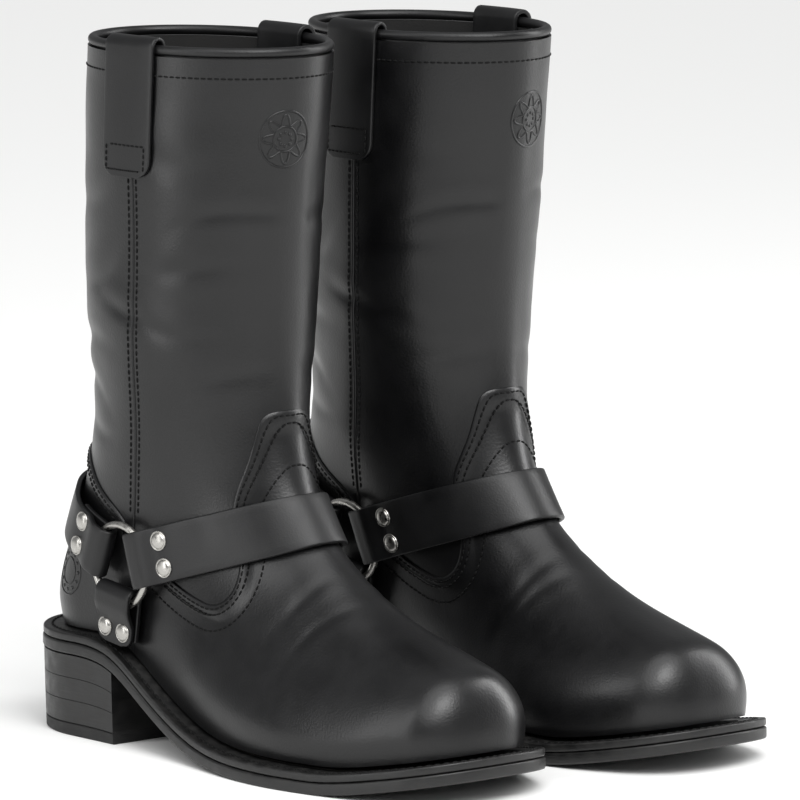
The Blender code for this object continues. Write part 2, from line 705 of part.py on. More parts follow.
# ---------------------------------------------------------------- hardware
def ring_mesh():
    bpy.ops.mesh.primitive_torus_add(major_radius=RING_RADIUS * MM, minor_radius=RING_WIRE * MM,
                                     major_segments=20, minor_segments=6)
    made = bpy.context.object
    mesh = made.data
    bpy.data.objects.remove(made)
    mesh.shade_smooth()
    return mesh


def rivet_mesh():
    """A domed cap turned about +Z with its flat face at z = 0."""
    steps = 8
    profile = [(1.0, 0.0), (0.9, 0.55), (0.45, 1.0)]
    points, faces = [], []
    for radius, height in profile:
        for k in range(steps):
            a = 2 * math.pi * k / steps
            points.append((RIVET_RADIUS * radius * math.cos(a) * MM,
                           RIVET_RADIUS * radius * math.sin(a) * MM, RIVET_HEIGHT * height * MM))
    for level in range(len(profile) - 1):
        for k in range(steps):
            a, b = level * steps + k, level * steps + (k + 1) % steps
            faces.append((a, b, b + steps, a + steps))
    faces.append(tuple(range(steps))[::-1])
    faces.append(tuple(range((len(profile) - 1) * steps, len(profile) * steps)))
    mesh = bpy.data.meshes.new("rivet")
    mesh.from_pydata(points, [], faces)
    mesh.shade_smooth()
    return mesh


def set_upright(piece, boot, centre, out):
    """Stands a piece made along +Z at a place on the boot, facing out."""
    where = Vector(boot.local(centre))
    facing = Vector((boot.outward * out[1], -out[0], out[2]))
    piece.location = where
    piece.rotation_mode = "QUATERNION"
    piece.rotation_quaternion = facing.to_track_quat("Z", "Y")


# ---------------------------------------------------------------- assembly
def build(boot, looks, steel_ring, rivet):
    hide, sole, steel = looks
    boot.solid("shaft_front", shaft_front(), hide)
    boot.solid("shaft_back", shaft_back(), hide)
    boot.solid("vamp", vamp(), hide)
    boot.solid("counter", counter(), hide)
    boot.solid("shaft_lining", shaft_lining(), hide)
    boot.solid("insole", insole(), hide)
    boot.solid("welt", welt(), sole)
    boot.solid("outsole", outsole(), sole)
    boot.solid("heel_block", heel_block(), sole)
    piping(boot, hide)
    seats = {}
    solid, ends = strap_across((float(line_at(FRONT, FRONT_STRAP_Z)), FRONT_STRAP_Z), *FRONT_STRAP)
    boot.solid("front_strap", solid, hide)
    seats["front_strap_outer"], seats["front_strap_inner"] = ends
    solid, ends = strap_across((float(line_at(BACK, HEEL_STRAP_Z)), HEEL_STRAP_Z), *SHORT_STRAP)
    boot.solid("heel_strap", solid, hide)
    seats["heel_strap_outer"], seats["heel_strap_inner"] = ends
    for side, which in ((1, "outer"), (-1, "inner")):
        boot.solid(f"pull_strap_{which}", pull_strap(side), hide)
        solid, seats[f"side_strap_{which}"] = strap_down(side, *SHORT_STRAP)
        boot.solid(f"side_strap_{which}", solid, hide)
        centre, _, _, out = frame_at(side)
        piece = boot.add(f"ring_{which}", steel_ring, steel)
        set_upright(piece, boot, centre, out)
    for strap, spots in seats.items():
        for number, (point, out) in enumerate(spots, 1):
            piece = boot.add(f"rivet_{strap}_{number}", rivet, steel)
            set_upright(piece, boot, point, out)


def centre_pair(boots):
    """Moves the boots so that the pair's box stands centred over the origin."""
    bpy.context.view_layer.update()
    corners = np.array([piece.matrix_world @ Vector(corner) for boot in boots
                        for piece in boot.empty.children for corner in piece.bound_box])
    middle = (corners.min(0) + corners.max(0)) / 2
    for boot in boots:
        boot.empty.location.x -= middle[0]
        boot.empty.location.y -= middle[1]


def main():
    for old in list(bpy.data.objects):
        bpy.data.objects.remove(old)
    looks = (finish("black_leather", (0.02, 0.02, 0.021), 0.42),
             finish("black_sole_leather", (0.015, 0.015, 0.015), 0.55),
             finish("steel", (0.62, 0.62, 0.6), 0.25, 1.0))
    steel_ring, rivet = ring_mesh(), rivet_mesh()
    right = Boot("right", -1, (0, 0, 0))
    left = Boot("left", 1, (PAIR_SPREAD * MM, -LEFT_FORWARD * MM, 0))
    for boot in (right, left):
        build(boot, looks, steel_ring, rivet)
    centre_pair((right, left))


main()
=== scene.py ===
# %% [markdown]
# # A pair of black harness boots
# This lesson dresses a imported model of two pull-on leather boots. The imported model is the
# skeleton: it says where each piece is and what moves. Here each visible piece gets the fine
# shape and the finish of the real one.

# %% Load the frame
import json
import math

import bpy
import numpy as np
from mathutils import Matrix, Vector


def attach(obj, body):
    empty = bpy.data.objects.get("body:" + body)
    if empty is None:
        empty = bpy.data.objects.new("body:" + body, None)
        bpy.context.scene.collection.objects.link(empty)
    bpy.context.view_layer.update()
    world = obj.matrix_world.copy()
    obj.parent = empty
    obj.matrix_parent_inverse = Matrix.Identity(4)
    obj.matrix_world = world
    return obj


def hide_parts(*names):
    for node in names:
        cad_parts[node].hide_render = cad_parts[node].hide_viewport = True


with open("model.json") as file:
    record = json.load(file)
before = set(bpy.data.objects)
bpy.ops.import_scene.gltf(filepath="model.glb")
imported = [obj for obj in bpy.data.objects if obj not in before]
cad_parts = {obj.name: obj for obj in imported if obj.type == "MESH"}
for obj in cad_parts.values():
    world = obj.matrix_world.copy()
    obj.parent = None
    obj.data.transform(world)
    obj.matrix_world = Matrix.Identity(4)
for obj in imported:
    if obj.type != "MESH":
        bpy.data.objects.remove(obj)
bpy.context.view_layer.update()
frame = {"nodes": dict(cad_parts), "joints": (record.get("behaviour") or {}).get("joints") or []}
MM = 0.001

# %% [markdown]
# ## Small helpers for curves
# A boot is drawn from a few curves: a side view and some widths. A natural cubic spline through
# listed points keeps each list short. Blender's own curves could do it too, but a function that
# numpy can call is easier to sample thousands of times.

# %% Curves


def ease(x, low, high):
    """0 below low, 1 above high, smooth between."""
    t = np.clip((np.asarray(x, float) - low) / (high - low), 0, 1)
    return t * t * (3 - 2 * t)


def unit(v):
    return v / np.maximum(np.linalg.norm(v, axis=-1, keepdims=True), 1e-9)


def spline(points, count):
    """A natural cubic curve through the points, read at count even steps of chord length."""
    p = np.array(points, float)
    knots = np.r_[0, np.cumsum(np.linalg.norm(np.diff(p, axis=0), axis=1))]
    h = np.diff(knots)
    n = len(p)
    system = np.eye(n)
    right = np.zeros_like(p)
    for i in range(1, n - 1):
        system[i, i - 1:i + 2] = h[i - 1], 2 * (h[i - 1] + h[i]), h[i]
        right[i] = 6 * ((p[i + 1] - p[i]) / h[i] - (p[i] - p[i - 1]) / h[i - 1])
    bend = np.linalg.solve(system, right)
    x = np.linspace(0, knots[-1], count)
    i = np.clip(np.searchsorted(knots, x) - 1, 0, n - 2)
    a, b, span = (knots[i + 1] - x)[:, None], (x - knots[i])[:, None], h[i][:, None]
    return ((bend[i] * a ** 3 + bend[i + 1] * b ** 3) / (6 * span)
            + (p[i] / span - bend[i] * span / 6) * a + (p[i + 1] / span - bend[i + 1] * span / 6) * b)


def graph(points):
    """A smooth function through points (x, y)."""
    line = spline(points, 240)
    return lambda x: np.interp(x, line[:, 0], line[:, 1])


print("a spline through 3 points:", spline([(0, 0), (1, 1), (2, 0)], 5).round(2).tolist())

# %% [markdown]
# ## The last
# A shoemaker pulls leather over a last, a solid foot shape, and the leather takes its surface.
# So one surface is made first and every leather piece is cut from it. Its sizes repeat the frame's
# driving sizes, in millimetres: f runs forward from behind the heel, s runs to the outer side of
# the foot, z runs up. The boot's outer skin is this surface.

# %% Driving sizes
TOPLINE = 338.0
HEEL_SEAT = 40.0
HEEL_LENGTH = 78.0
TOE_FRONT = 301.0
TOE_SPRING = 13.0
OUTSOLE, WELT, SOLE_EDGE, GAP = 5.8, 4.0, 10.5, 0.3
LEATHER, LINING = 2.2, 1.8
LINED = (-LEATHER - 0.9 - LINING, -LEATHER - 0.9)
FRONT_POINTS = [(168, 338), (163, 280), (158, 230), (156, 195), (157, 166), (162, 142),
                (175, 115), (202, 92), (234, 75), (264, 65), (292, 57), (330, 44)]
BACK_POINTS = [(32, 338), (30, 290), (29, 240), (31, 195), (32, 165), (27, 135), (16, 105),
               (6, 80), (3, 62), (6, 50)]
FRONT, BACK = spline(FRONT_POINTS, 420), spline(BACK_POINTS, 320)
shaft_width = graph([(40, 32), (70, 34), (100, 37), (130, 40), (160, 43.5), (190, 47), (230, 48.5),
                     (280, 49.5), (338, 50)])
outer_width = graph([(0, 34), (60, 35), (90, 36), (120, 39), (150, 44.5), (180, 50), (210, 51.5),
                     (235, 48), (260, 42.5), (280, 36.5), (300, 30), (320, 22)])
inner_width = graph([(0, 29), (60, 28), (90, 26), (120, 27), (150, 32), (180, 39), (210, 45),
                     (235, 46.5), (260, 42), (280, 34.5), (300, 26), (320, 18)])
underside = graph([(-20, HEEL_SEAT), (40, HEEL_SEAT), (74, HEEL_SEAT - 3), (97, 0.62 * HEEL_SEAT),
                   (122, 0.30 * HEEL_SEAT), (152, 0.08 * HEEL_SEAT), (182, 0.4), (207, 0),
                   (238, 0.1), (268, 0.3 * TOE_SPRING), (315, TOE_SPRING)])
print("ball of the foot is", float(outer_width(210) + inner_width(210)), "mm wide")

# %% [markdown]
# The surface is a table of points: rows run from the topline down to the welt, columns run once
# around, from the back over the outer side to the front and home along the inner side. Rows are
# level on the shaft and turn at the ankle to follow the sole, as the leather's own grain does.

# %% Surface table
HALF, ROWS = 80, 200
ANKLE, SHAFT_SHARE = 200.0, 0.46   # where the rows begin to turn, and the share of them above it


def feather(f):
    """Height of the line where the upper meets the welt."""
    return np.maximum(underside(f), 0) + OUTSOLE + WELT + 2 * GAP


def depth(line, inward, f, z):
    """Distance of side-view points behind a line, and the nearest point on it."""
    points = np.stack([f, z], -1)
    near = ((points[:, None] - line) ** 2).sum(-1).argmin(-1)
    along = np.gradient(line, axis=0)[near]
    normal = inward * unit(np.stack([along[:, 1], -along[:, 0]], -1))
    return ((points - line[near]) * normal).sum(-1), line[near]


def fullness(f, z):
    """0 where the last is at its full width, 1 on its outline in side view."""
    front_depth, at_front = depth(FRONT, 1, f, z)
    back_depth, at_back = depth(BACK, -1, f, z)
    on_shaft = ease(at_front[:, 1], 120, 200)
    crown = np.clip(at_front[:, 1] - feather(at_front[:, 0]), 20, 95)
    front_round = 66 * on_shaft + crown * (1 - on_shaft)
    back_round = 36 + 28 * ease(at_back[:, 1], 80, 190)
    power = 2 + 0.5 * ease(f, 200, 290)
    total = sum(np.clip(1 - d / r, 0, None) ** power for d, r in
                ((front_depth, front_round), (back_depth, back_round), (TOE_FRONT - f, 20.0)))
    return total, power


def half_width(f, z, plan):
    total, power = fullness(f, z)
    height = z - feather(f)
    bulge = 3.2 * np.sin(np.pi * np.clip(height / 45, 0, 1)) * ease(f, 90, 170)
    up = ease(height, 8, 105)
    full = (plan(f) + bulge) * (1 - up) + shaft_width(z) * up
    return full * np.clip(1 - total, 0, None) ** (1 / power)


def line_at(line, z):
    return np.interp(-z, -line[:, 1], line[:, 0])


def on_line(line, index):
    return np.array([np.interp(index, np.arange(len(line)), line[:, k]) for k in (0, 1)])


def ring_ends(v):
    """Where ring v starts on the back line and ends on the front line."""
    if v < SHAFT_SHARE:
        z = TOPLINE + (ANKLE - TOPLINE) * v / SHAFT_SHARE
        return np.array([line_at(BACK, z), z]), np.array([line_at(FRONT, z), z]), 0.0
    down = (v - SHAFT_SHARE) / (1 - SHAFT_SHARE)
    back_start = np.interp(-ANKLE, -BACK[:, 1], np.arange(len(BACK)))
    front_start = np.interp(-ANKLE, -FRONT[:, 1], np.arange(len(FRONT)))
    front_end = np.interp(TOE_FRONT, FRONT[-150:, 0], np.arange(len(FRONT) - 150, len(FRONT)))
    back = on_line(BACK, back_start + (len(BACK) - 1 - back_start) * down)
    step = np.linalg.norm(FRONT[1] - FRONT[0])
    toe_face = (on_line(FRONT, front_end)[1] - feather(TOE_FRONT)) / step
    index = front_start + (front_end - front_start + toe_face) * down
    front = on_line(FRONT, min(index, front_end))
    front[1] -= max(index - front_end, 0) * step
    return back, front, float(ease(down, 0.12, 1))


def ring(v):
    """Points of ring v in side view, from the back to the front."""
    back, front, turn_down = ring_ends(v)
    t = np.linspace(-0.02, 1.04, 400)
    f = back[0] + (front[0] - back[0]) * t
    above_back, above_front = back[1] - feather(back[0]), front[1] - feather(front[0])
    z = (back[1] + (front[1] - back[1]) * t) * (1 - turn_down)
    z = z + turn_down * (feather(f) + above_back + (above_front - above_back) * t)
    total = fullness(f, z)[0]
    inside = np.where(total < 1)[0]
    first, last = inside[0], inside[-1]

    def crossing(i, j):
        return t[i] + (t[j] - t[i]) * (1 - total[i]) / (total[j] - total[i])

    start = crossing(first, first - 1) if first else t[0]
    end = crossing(last, last + 1) if last < len(t) - 1 else t[-1]
    spread = start + (end - start) * (1 - np.cos(np.linspace(0, np.pi, HALF + 1))) / 2
    return np.interp(spread, t, f), np.interp(spread, t, z)


def surface_table():
    rows = []
    for v in np.linspace(0, 1, ROWS + 1):
        f, z = ring(v)
        outer = np.stack([f, half_width(f, z, outer_width), z], -1)
        inner = np.stack([f, -half_width(f, z, inner_width), z], -1)
        rows.append(np.concatenate([outer, inner[-2:0:-1]]))
    table = np.array(rows)
    for _ in range(6):
        table[1:-1] = 0.5 * table[1:-1] + 0.25 * (table[:-2] + table[2:])
    return table


TABLE = surface_table()
COLUMNS = TABLE.shape[1]
NORMALS = unit(np.cross(np.roll(TABLE, -1, 1) - np.roll(TABLE, 1, 1), np.gradient(TABLE, axis=0)))
print("surface table:", TABLE.shape, "length", round(float(np.ptp(TABLE[..., 0])), 1), "mm")

# %% [markdown]
# ## Reading the surface
# `skin` gives a point of the surface lifted off it, and `spot` finds where a point drawn in side
# view lies on it. With those two, any leather piece is a grid of (turn, v) with a lift.

# %% Reading


def sample(table, turn, v):
    column = (np.asarray(turn, float) % 2) * COLUMNS / 2
    row = np.clip(np.asarray(v, float), 0, 1) * ROWS
    i = np.clip(row.astype(int), 0, ROWS - 1)
    j = column.astype(int) % COLUMNS
    a, b = (row - i)[..., None], (column - column.astype(int))[..., None]
    k = (j + 1) % COLUMNS
    return ((table[i, j] * (1 - b) + table[i, k] * b) * (1 - a)
            + (table[i + 1, j] * (1 - b) + table[i + 1, k] * b) * a)


def skin(turn, v, lift=0.0):
    lift = np.asarray(lift, float)[..., None]
    return sample(TABLE, turn, v) + unit(sample(NORMALS, turn, v)) * lift


def spot(f, z, side=1):
    """turn and v of the side-view point (f, z) on the outer (1) or inner (-1) side."""
    half = TABLE[:, :HALF + 1]
    u, rows = np.linspace(0, 1, HALF + 1), np.linspace(0, 1, ROWS + 1)
    found = []
    for one_f, one_z in zip(np.atleast_1d(f), np.atleast_1d(z)):
        us = np.array([np.interp(one_f, row[:, 0], u) for row in half])
        zs = np.array([np.interp(x, u, row[:, 2]) for x, row in zip(us, half)])
        v = np.interp(-one_z, -zs, rows)
        found.append((np.interp(v, rows, us), v))
    turn, v = np.array(found).T
    return (turn if side > 0 else 2 - turn), v


print("ring centre on the skin:", skin(*spot(82, 88)).round(1).tolist())

# %% [markdown]
# ## Where the boots stand
# The frame's ring joints say where each boot's rings are. The same ring worked out on this
# surface gives the boot's own place, so nothing is placed by eye.

# %% Ring places
RING_RADIUS, RING_WIRE, RING_SPOT = 19.5, 1.8, (82, 88)
SIDES = {"outer": 1, "inner": -1}
STRAP = 2.5                                # thickness
WIRE_ROOM = RING_WIRE + 0.55 + STRAP / 2   # from the ring's wire to a strap's middle
STRAP_CLEAR = 1.35                         # air under a strap, which the worn leather rises into
ON_LEATHER = STRAP_CLEAR + STRAP / 2


def frame_at(side):
    """Centre and outward axis of a ring."""
    angle = np.linspace(0, 2 * np.pi, 12, endpoint=False)
    turn, v = spot(np.r_[RING_SPOT[0], RING_SPOT[0] + RING_RADIUS * np.cos(angle)],
                   np.r_[RING_SPOT[1], RING_SPOT[1] + RING_RADIUS * np.sin(angle)], side)
    under = skin(turn, v)
    out = unit(sample(NORMALS, turn, v).mean(0))
    return under[0] + out * (((under - under[0]) @ out).max() + ON_LEATHER + WIRE_ROOM), out


class Boot:
    """One boot: its name, its outward direction along X and its place in metres."""

    def __init__(self, name, outward):
        self.name, self.outward, self.body = name, outward, f"{name}_boot"
        joint = next(j for j in frame["joints"] if j["name"] == f"{name}_ring_outer_turn")
        f, s = frame_at(1)[0][:2] * MM
        self.place = np.array([joint["pos_m"][0] - outward * s, joint["pos_m"][1] + f, 0])

    def world(self, points):
        """(f, s, z) in millimetres to the frame in metres."""
        p = np.asarray(points, float) * MM
        return np.stack([self.outward * p[..., 1], -p[..., 0], p[..., 2]], -1) + self.place


BOOTS = (Boot("right", -1), Boot("left", 1))
print("boots stand at", [boot.place.round(4).tolist() for boot in BOOTS])

# %% [markdown]
# ## Materials
# Colours are written as the sRGB hex a painter would pick and turned to linear light by one
# function. One function adds a node. Scales come from millimetres: a texture with cells of d
# millimetres has scale 1000 / d, because the coordinates are in metres.

# %% Colour and nodes


def colour(hex_code):
    parts = [int(hex_code[i:i + 2], 16) / 255 for i in (1, 3, 5)]
    return (*[c / 12.92 if c <= 0.04045 else ((c + 0.055) / 1.055) ** 2.4 for c in parts], 1)


def per_mm(cell):
    """Texture scale for a cell of this many millimetres."""
    return 1000 / cell


def add(tree, kind, links=None, **settings):
    """Adds a node. Settings are its properties, or its sockets where the name is a socket."""
    node = tree.nodes.new(kind)
    for name, value in settings.items():
        if hasattr(node, name):
            setattr(node, name, value)
        else:
            node.inputs[name.replace("_", " ")].default_value = value
    for name, source in (links or {}).items():
        tree.links.new(source, node.inputs[name])
    return node


def blank(name, base, roughness, **settings):
    """A new material with its constants set on the shader, which is where each one stays."""
    made = bpy.data.materials.new(name)
    made.use_nodes = True
    shader = made.node_tree.nodes["Principled BSDF"]
    shader.inputs["Base Color"].default_value = colour(base)
    shader.inputs["Roughness"].default_value = roughness
    shader.inputs["IOR"].default_value = 1.5
    for socket, value in settings.items():
        shader.inputs[socket.replace("_", " ")].default_value = value
    return made, made.node_tree, shader


def weathered(tree, shader, pattern, colours, stops, dull, span=(0.3, 0.7)):
    """Lets one pattern change the colour between two stops and the roughness over a span."""
    tint = add(tree, "ShaderNodeValToRGB", {"Fac": pattern})
    for i in (0, 1):
        tint.color_ramp.elements[i].color = colour(colours[i])
        tint.color_ramp.elements[i].position = stops[i]
    tree.links.new(tint.outputs["Color"], shader.inputs["Base Color"])
    rough = add(tree, "ShaderNodeMapRange", {"Value": pattern}, From_Min=span[0], From_Max=span[1],
                To_Min=dull[0], To_Max=dull[1])
    tree.links.new(rough.outputs["Result"], shader.inputs["Roughness"])


print("mid grey in linear light:", round(colour("#808080")[0], 3))

# %% [markdown]
# ### Full-grain waxed cowhide
# The uppers are chrome-tanned cowhide, dyed black through, with the natural grain left on and a
# waxed finish. Grain cells are about 1 mm across with finer pores between them, and the wax gives
# broad soft highlights that break up where the skin was stretched or rubbed.

# %% Leather


def leather(name, base, worn, roughness, grain=1.1, relief=0.2, coat=0.0):
    made, tree, shader = blank(name, base, roughness, Specular_IOR_Level=0.42, Coat_Weight=coat,
                               Coat_Roughness=0.22)
    place = add(tree, "ShaderNodeTexCoord").outputs["Object"]
    cells = add(tree, "ShaderNodeTexVoronoi", {"Vector": place}, feature="SMOOTH_F1",
                Scale=per_mm(grain), Smoothness=0.6, Randomness=0.95)
    pores = add(tree, "ShaderNodeTexNoise", {"Vector": place}, Scale=per_mm(0.5), Detail=2.0)
    cloud = add(tree, "ShaderNodeTexNoise", {"Vector": place}, Scale=per_mm(38), Detail=4.0,
                Roughness=0.6)
    weathered(tree, shader, cloud.outputs["Fac"], (base, worn), (0.40, 0.78),
              (roughness - 0.05, roughness + 0.08))
    fine = add(tree, "ShaderNodeBump", {"Height": pores.outputs["Fac"]}, Strength=0.12,
               Distance=0.00012)
    coarse = add(tree, "ShaderNodeBump", {"Height": cells.outputs["Distance"],
                                          "Normal": fine.outputs["Normal"]},
                 Strength=relief, Distance=0.00025)
    tree.links.new(coarse.outputs["Normal"], shader.inputs["Normal"])
    return made


HIDE = leather("waxed_black_cowhide", "#060607", "#101011", 0.34, coat=0.06)
BRIDLE = leather("black_bridle_leather", "#070708", "#141415", 0.42, grain=0.9, relief=0.15)
LINING_HIDE = leather("black_lining_pigskin", "#101010", "#1a1918", 0.62, grain=0.8)
BOARD = leather("black_insole_leather", "#17130f", "#241d17", 0.75, grain=0.7)
print("leathers:", [m.name for m in (HIDE, BRIDLE, LINING_HIDE, BOARD)])

# %% [markdown]
# ### Sole edge, heel rubber, thread and plated steel
# Sole edges are cut leather, inked black and burnished with wax, so the lines of the layers still
# show. The heel's lowest lift is moulded rubber. Thread is bonded polyester, which is duller than
# the leather. Rings and rivet caps are nickel plated steel: a bright metal with a slightly warm
# tint and fine scuffs.

# %% Hard finishes


def inked_edge(name, base, worn, roughness, layer):
    """Burnished edge of stacked leather with layers this many millimetres thick."""
    made, tree, shader = blank(name, base, roughness)
    place = add(tree, "ShaderNodeTexCoord").outputs["Object"]
    squash = add(tree, "ShaderNodeMapping", {"Vector": place})
    squash.inputs["Scale"].default_value = (0.12, 0.12, 1.0)
    fibres = add(tree, "ShaderNodeTexNoise", {"Vector": squash.outputs["Vector"]},
                 Scale=per_mm(layer), Detail=3.0)
    specks = add(tree, "ShaderNodeTexNoise", {"Vector": place}, Scale=per_mm(6), Detail=5.0)
    weathered(tree, shader, specks.outputs["Fac"], (base, worn), (0.45, 0.80),
              (roughness - 0.08, roughness + 0.1))
    relief = add(tree, "ShaderNodeBump", {"Height": fibres.outputs["Fac"]}, Strength=0.35,
                 Distance=0.0003)
    tree.links.new(relief.outputs["Normal"], shader.inputs["Normal"])
    return made


def plated(name, base, worn, roughness):
    made, tree, shader = blank(name, base, roughness, Metallic=1.0)
    place = add(tree, "ShaderNodeTexCoord").outputs["Object"]
    scuff = add(tree, "ShaderNodeTexNoise", {"Vector": place}, Scale=per_mm(2.5), Detail=4.0)
    weathered(tree, shader, scuff.outputs["Fac"], (base, worn), (0, 1),
              (roughness - 0.06, roughness + 0.16), (0.35, 0.75))
    return made


def thread_finish(name, base):
    """Twisted thread; its specular level is low, because the fibres scatter the light."""
    made, tree, shader = blank(name, base, 0.7, Specular_IOR_Level=0.2)
    place = add(tree, "ShaderNodeTexCoord").outputs["Object"]
    twist = add(tree, "ShaderNodeTexNoise", {"Vector": place}, Scale=per_mm(0.35), Detail=1.0)
    relief = add(tree, "ShaderNodeBump", {"Height": twist.outputs["Fac"]}, Strength=0.5,
                 Distance=0.0002)
    tree.links.new(relief.outputs["Normal"], shader.inputs["Normal"])
    return made


EDGE = inked_edge("inked_sole_leather", "#0c0c0c", "#1d1c1b", 0.44, 0.9)
STACK = inked_edge("inked_heel_stack", "#0a0a0a", "#191817", 0.42, 1.4)
RUBBER = inked_edge("moulded_heel_rubber", "#0d0d0d", "#161616", 0.62, 0.6)
NICKEL = plated("nickel_plated_steel", "#a8a6a2", "#bfbdb8", 0.3)
THREAD = thread_finish("black_bonded_polyester", "#040404")
print("hard finishes:", [m.name for m in (EDGE, STACK, RUBBER, NICKEL, THREAD)])

# %% [markdown]
# ## Making meshes
# Every piece here is either a slab, a sheet of leather with a top and a bottom grid, or a stack of
# loops, such as a strap's cross-section carried along its length or the rim of a heel lift. Both
# give closed meshes of quads. Solidify and bevel modifiers could make them as well, but a slab
# built by hand can be thinned where a bootmaker skives the edge.

# %% Slab and stack


def walls(count, sides, closed=False, open_sides=False):
    """Quads between neighbouring loops of a grid of count loops."""
    i, j = np.meshgrid(np.arange(count if closed else count - 1),
                       np.arange(sides - 1 if open_sides else sides), indexing="ij")
    k, m = (i + 1) % count, (j + 1) % sides
    return np.stack([i * sides + j, i * sides + m, k * sides + m, k * sides + j], -1).reshape(-1, 4)


def stack(loops, closed=False):
    """The solid inside a row of loops (loops x points x 3), with an even number of points each."""
    loops = np.asarray(loops, float)
    count, sides = loops.shape[:2]
    faces = [walls(count, sides, closed)]
    if not closed:
        i = np.arange(sides // 2 - 1)
        strip = np.stack([i, i + 1, sides - 2 - i, sides - 1 - i], -1)
        faces += [strip[:, ::-1], strip + (count - 1) * sides]
    return loops.reshape(-1, 3), np.concatenate(faces)


def slab(top, bottom, around=False):
    """The solid between two grids (rows x columns x 3)."""
    if around:
        return stack(np.concatenate([top, bottom[::-1]]), closed=True)
    rows, columns = top.shape[:2]
    face = walls(rows, columns, open_sides=True)
    corner = np.arange(rows * columns).reshape(rows, columns)
    rim = np.r_[corner[0], corner[1:, -1], corner[-1, -2::-1], corner[-2:0:-1, 0]]
    after = np.roll(rim, -1)
    side = np.stack([after, rim, rim + rows * columns, after + rows * columns], -1)
    points = np.concatenate([top.reshape(-1, 3), bottom.reshape(-1, 3)])
    return points, np.concatenate([face, face[:, ::-1] + rows * columns, side])


def merged(solids):
    """Several solids as one."""
    starts = np.cumsum([0] + [len(points) for points, _ in solids])
    return (np.concatenate([points for points, _ in solids]),
            np.concatenate([faces + start for (_, faces), start in zip(solids, starts)]))


def set_out(name, data):
    """A new object in the scene."""
    made = bpy.data.objects.new(name, data)
    bpy.context.scene.collection.objects.link(made)
    return made


def piece(boot, name, solid, look, stands_for=(), body=None, sharp=50):
    """Puts a solid on a boot, gives it a finish and hides the frame's parts that it stands for."""
    points, faces = boot.world(solid[0]), solid[1]
    mesh = bpy.data.meshes.new(f"{boot.name}_{name}")
    mesh.from_pydata(points.tolist(), [], faces.tolist())
    corner = points[faces]
    if (corner[:, 0] * np.cross(corner[:, 1] - corner[:, 0], corner[:, 3] - corner[:, 0])).sum() < 0:
        mesh.flip_normals()
    mesh.shade_smooth()
    mesh.set_sharp_from_angle(angle=math.radians(sharp))
    mesh.materials.append(look)
    made = set_out(f"{boot.name}_fine_{name}", mesh)
    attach(made, body or boot.body)
    if stands_for:
        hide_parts(*[f"{boot.name}_{node}" for node in stands_for])


def dress(name, solid, look, slot, *stands_for, sharp=50):
    """The same piece on both boots."""
    for boot in BOOTS:
        piece(boot, name, solid, look, stands_for, sharp=sharp)
    print(f"{name}: {len(solid[1])} faces on each boot")


print("a slab of a 2 x 2 grid has", len(slab(np.zeros((2, 2, 3)), np.ones((2, 2, 3)))[1]), "faces")

# %% [markdown]
# ## Wear in the leather
# Leather that has stood on a foot isn't a perfect surface. The shaft hangs in slow waves, folds
# gather above the ankle, and the vamp creases where the toes bend. Each crease is a short furrow
# with a soft roll of leather on either side. They are drawn as a few listed furrows, added to
# the lift of the surface, so every panel and every stitch shares them.

# %% Creases
# f, z, direction in degrees, half length, half width, depth, all in millimetres
FURROWS = [(146, 262, 6, 19, 3.2, 0.42), (128, 234, 14, 17, 4.0, 0.45), (116, 203, -12, 17, 3.6, 0.38),
           (70, 225, 24, 16, 4.6, 1.0), (88, 212, -18, 13, 3.4, 0.6), (52, 196, 8, 20, 4.4, 0.9),
           (48, 176, -6, 18, 3.8, 0.7), (140, 182, 18, 15, 3.6, 0.35), (60, 150, -14, 15, 3.6, 0.5),
           (118, 286, -30, 20, 6.0, 0.45), (60, 262, 16, 18, 5.5, 0.7),
           (192, 84, 66, 12, 3.0, 0.34), (207, 72, 50, 15, 2.6, 0.26), (181, 60, 84, 12, 3.4, 0.22)]


def wear(points):
    """Lift in millimetres of worn leather over the last, at points of its surface."""
    f, s, z = np.moveaxis(points, -1, 0)
    side = np.where(s >= 0, 1.0, -1.0)
    fade = ease(np.abs(s), 3, 14)
    shaft = ease(z, 105, 190)
    waves = np.sin(f / 17 + z / 46 + 0.9 * side) * np.sin(z / 31 - f / 60 + 1.3 * side)
    lift = 0.75 * shaft * fade * waves * (1 - ease(z, 300, 335))
    for number, (fc, zc, angle, length, width, depth_mm) in enumerate(FURROWS):
        a = math.radians(angle + 4.5 * math.sin(5 * number))
        shift = np.where(side > 0, 0.0, 7 * math.sin(3 * number + 1))
        df, dz = f - fc - shift, z - zc + 0.7 * shift
        along = df * math.cos(a) + dz * math.sin(a)
        across_it = -df * math.sin(a) + dz * math.cos(a) + 0.012 * along ** 2 * math.sin(2 + number)
        reach = np.exp(-(along / length) ** 2) * fade
        furrow = np.exp(-(across_it / width) ** 2)
        roll = np.exp(-((np.abs(across_it) - 2.2 * width) / (1.5 * width)) ** 2)
        lift = lift + depth_mm * reach * (0.45 * roll - furrow)
    return lift


def hide_at(turn, v, lift=0.0):
    """A point of the worn leather, lifted off it."""
    at = skin(turn, v)
    return at + unit(sample(NORMALS, turn, v)) * (wear(at) + np.asarray(lift, float))[..., None]


print("deepest furrow:", min(-row[5] for row in FURROWS), "mm")

# %% [markdown]
# ## The four panels of the upper
# The upper is cut from four panels: shaft front, shaft back, vamp and counter. The vamp and the
# counter lie over the shaft and are sewn to it along their edges, so their edges show as a step of
# leather. The shaft's two halves meet in a side seam. Each panel is a grid between two edges drawn
# in side view; a boolean cut would leave a ragged mesh, while a grid keeps the surface smooth.

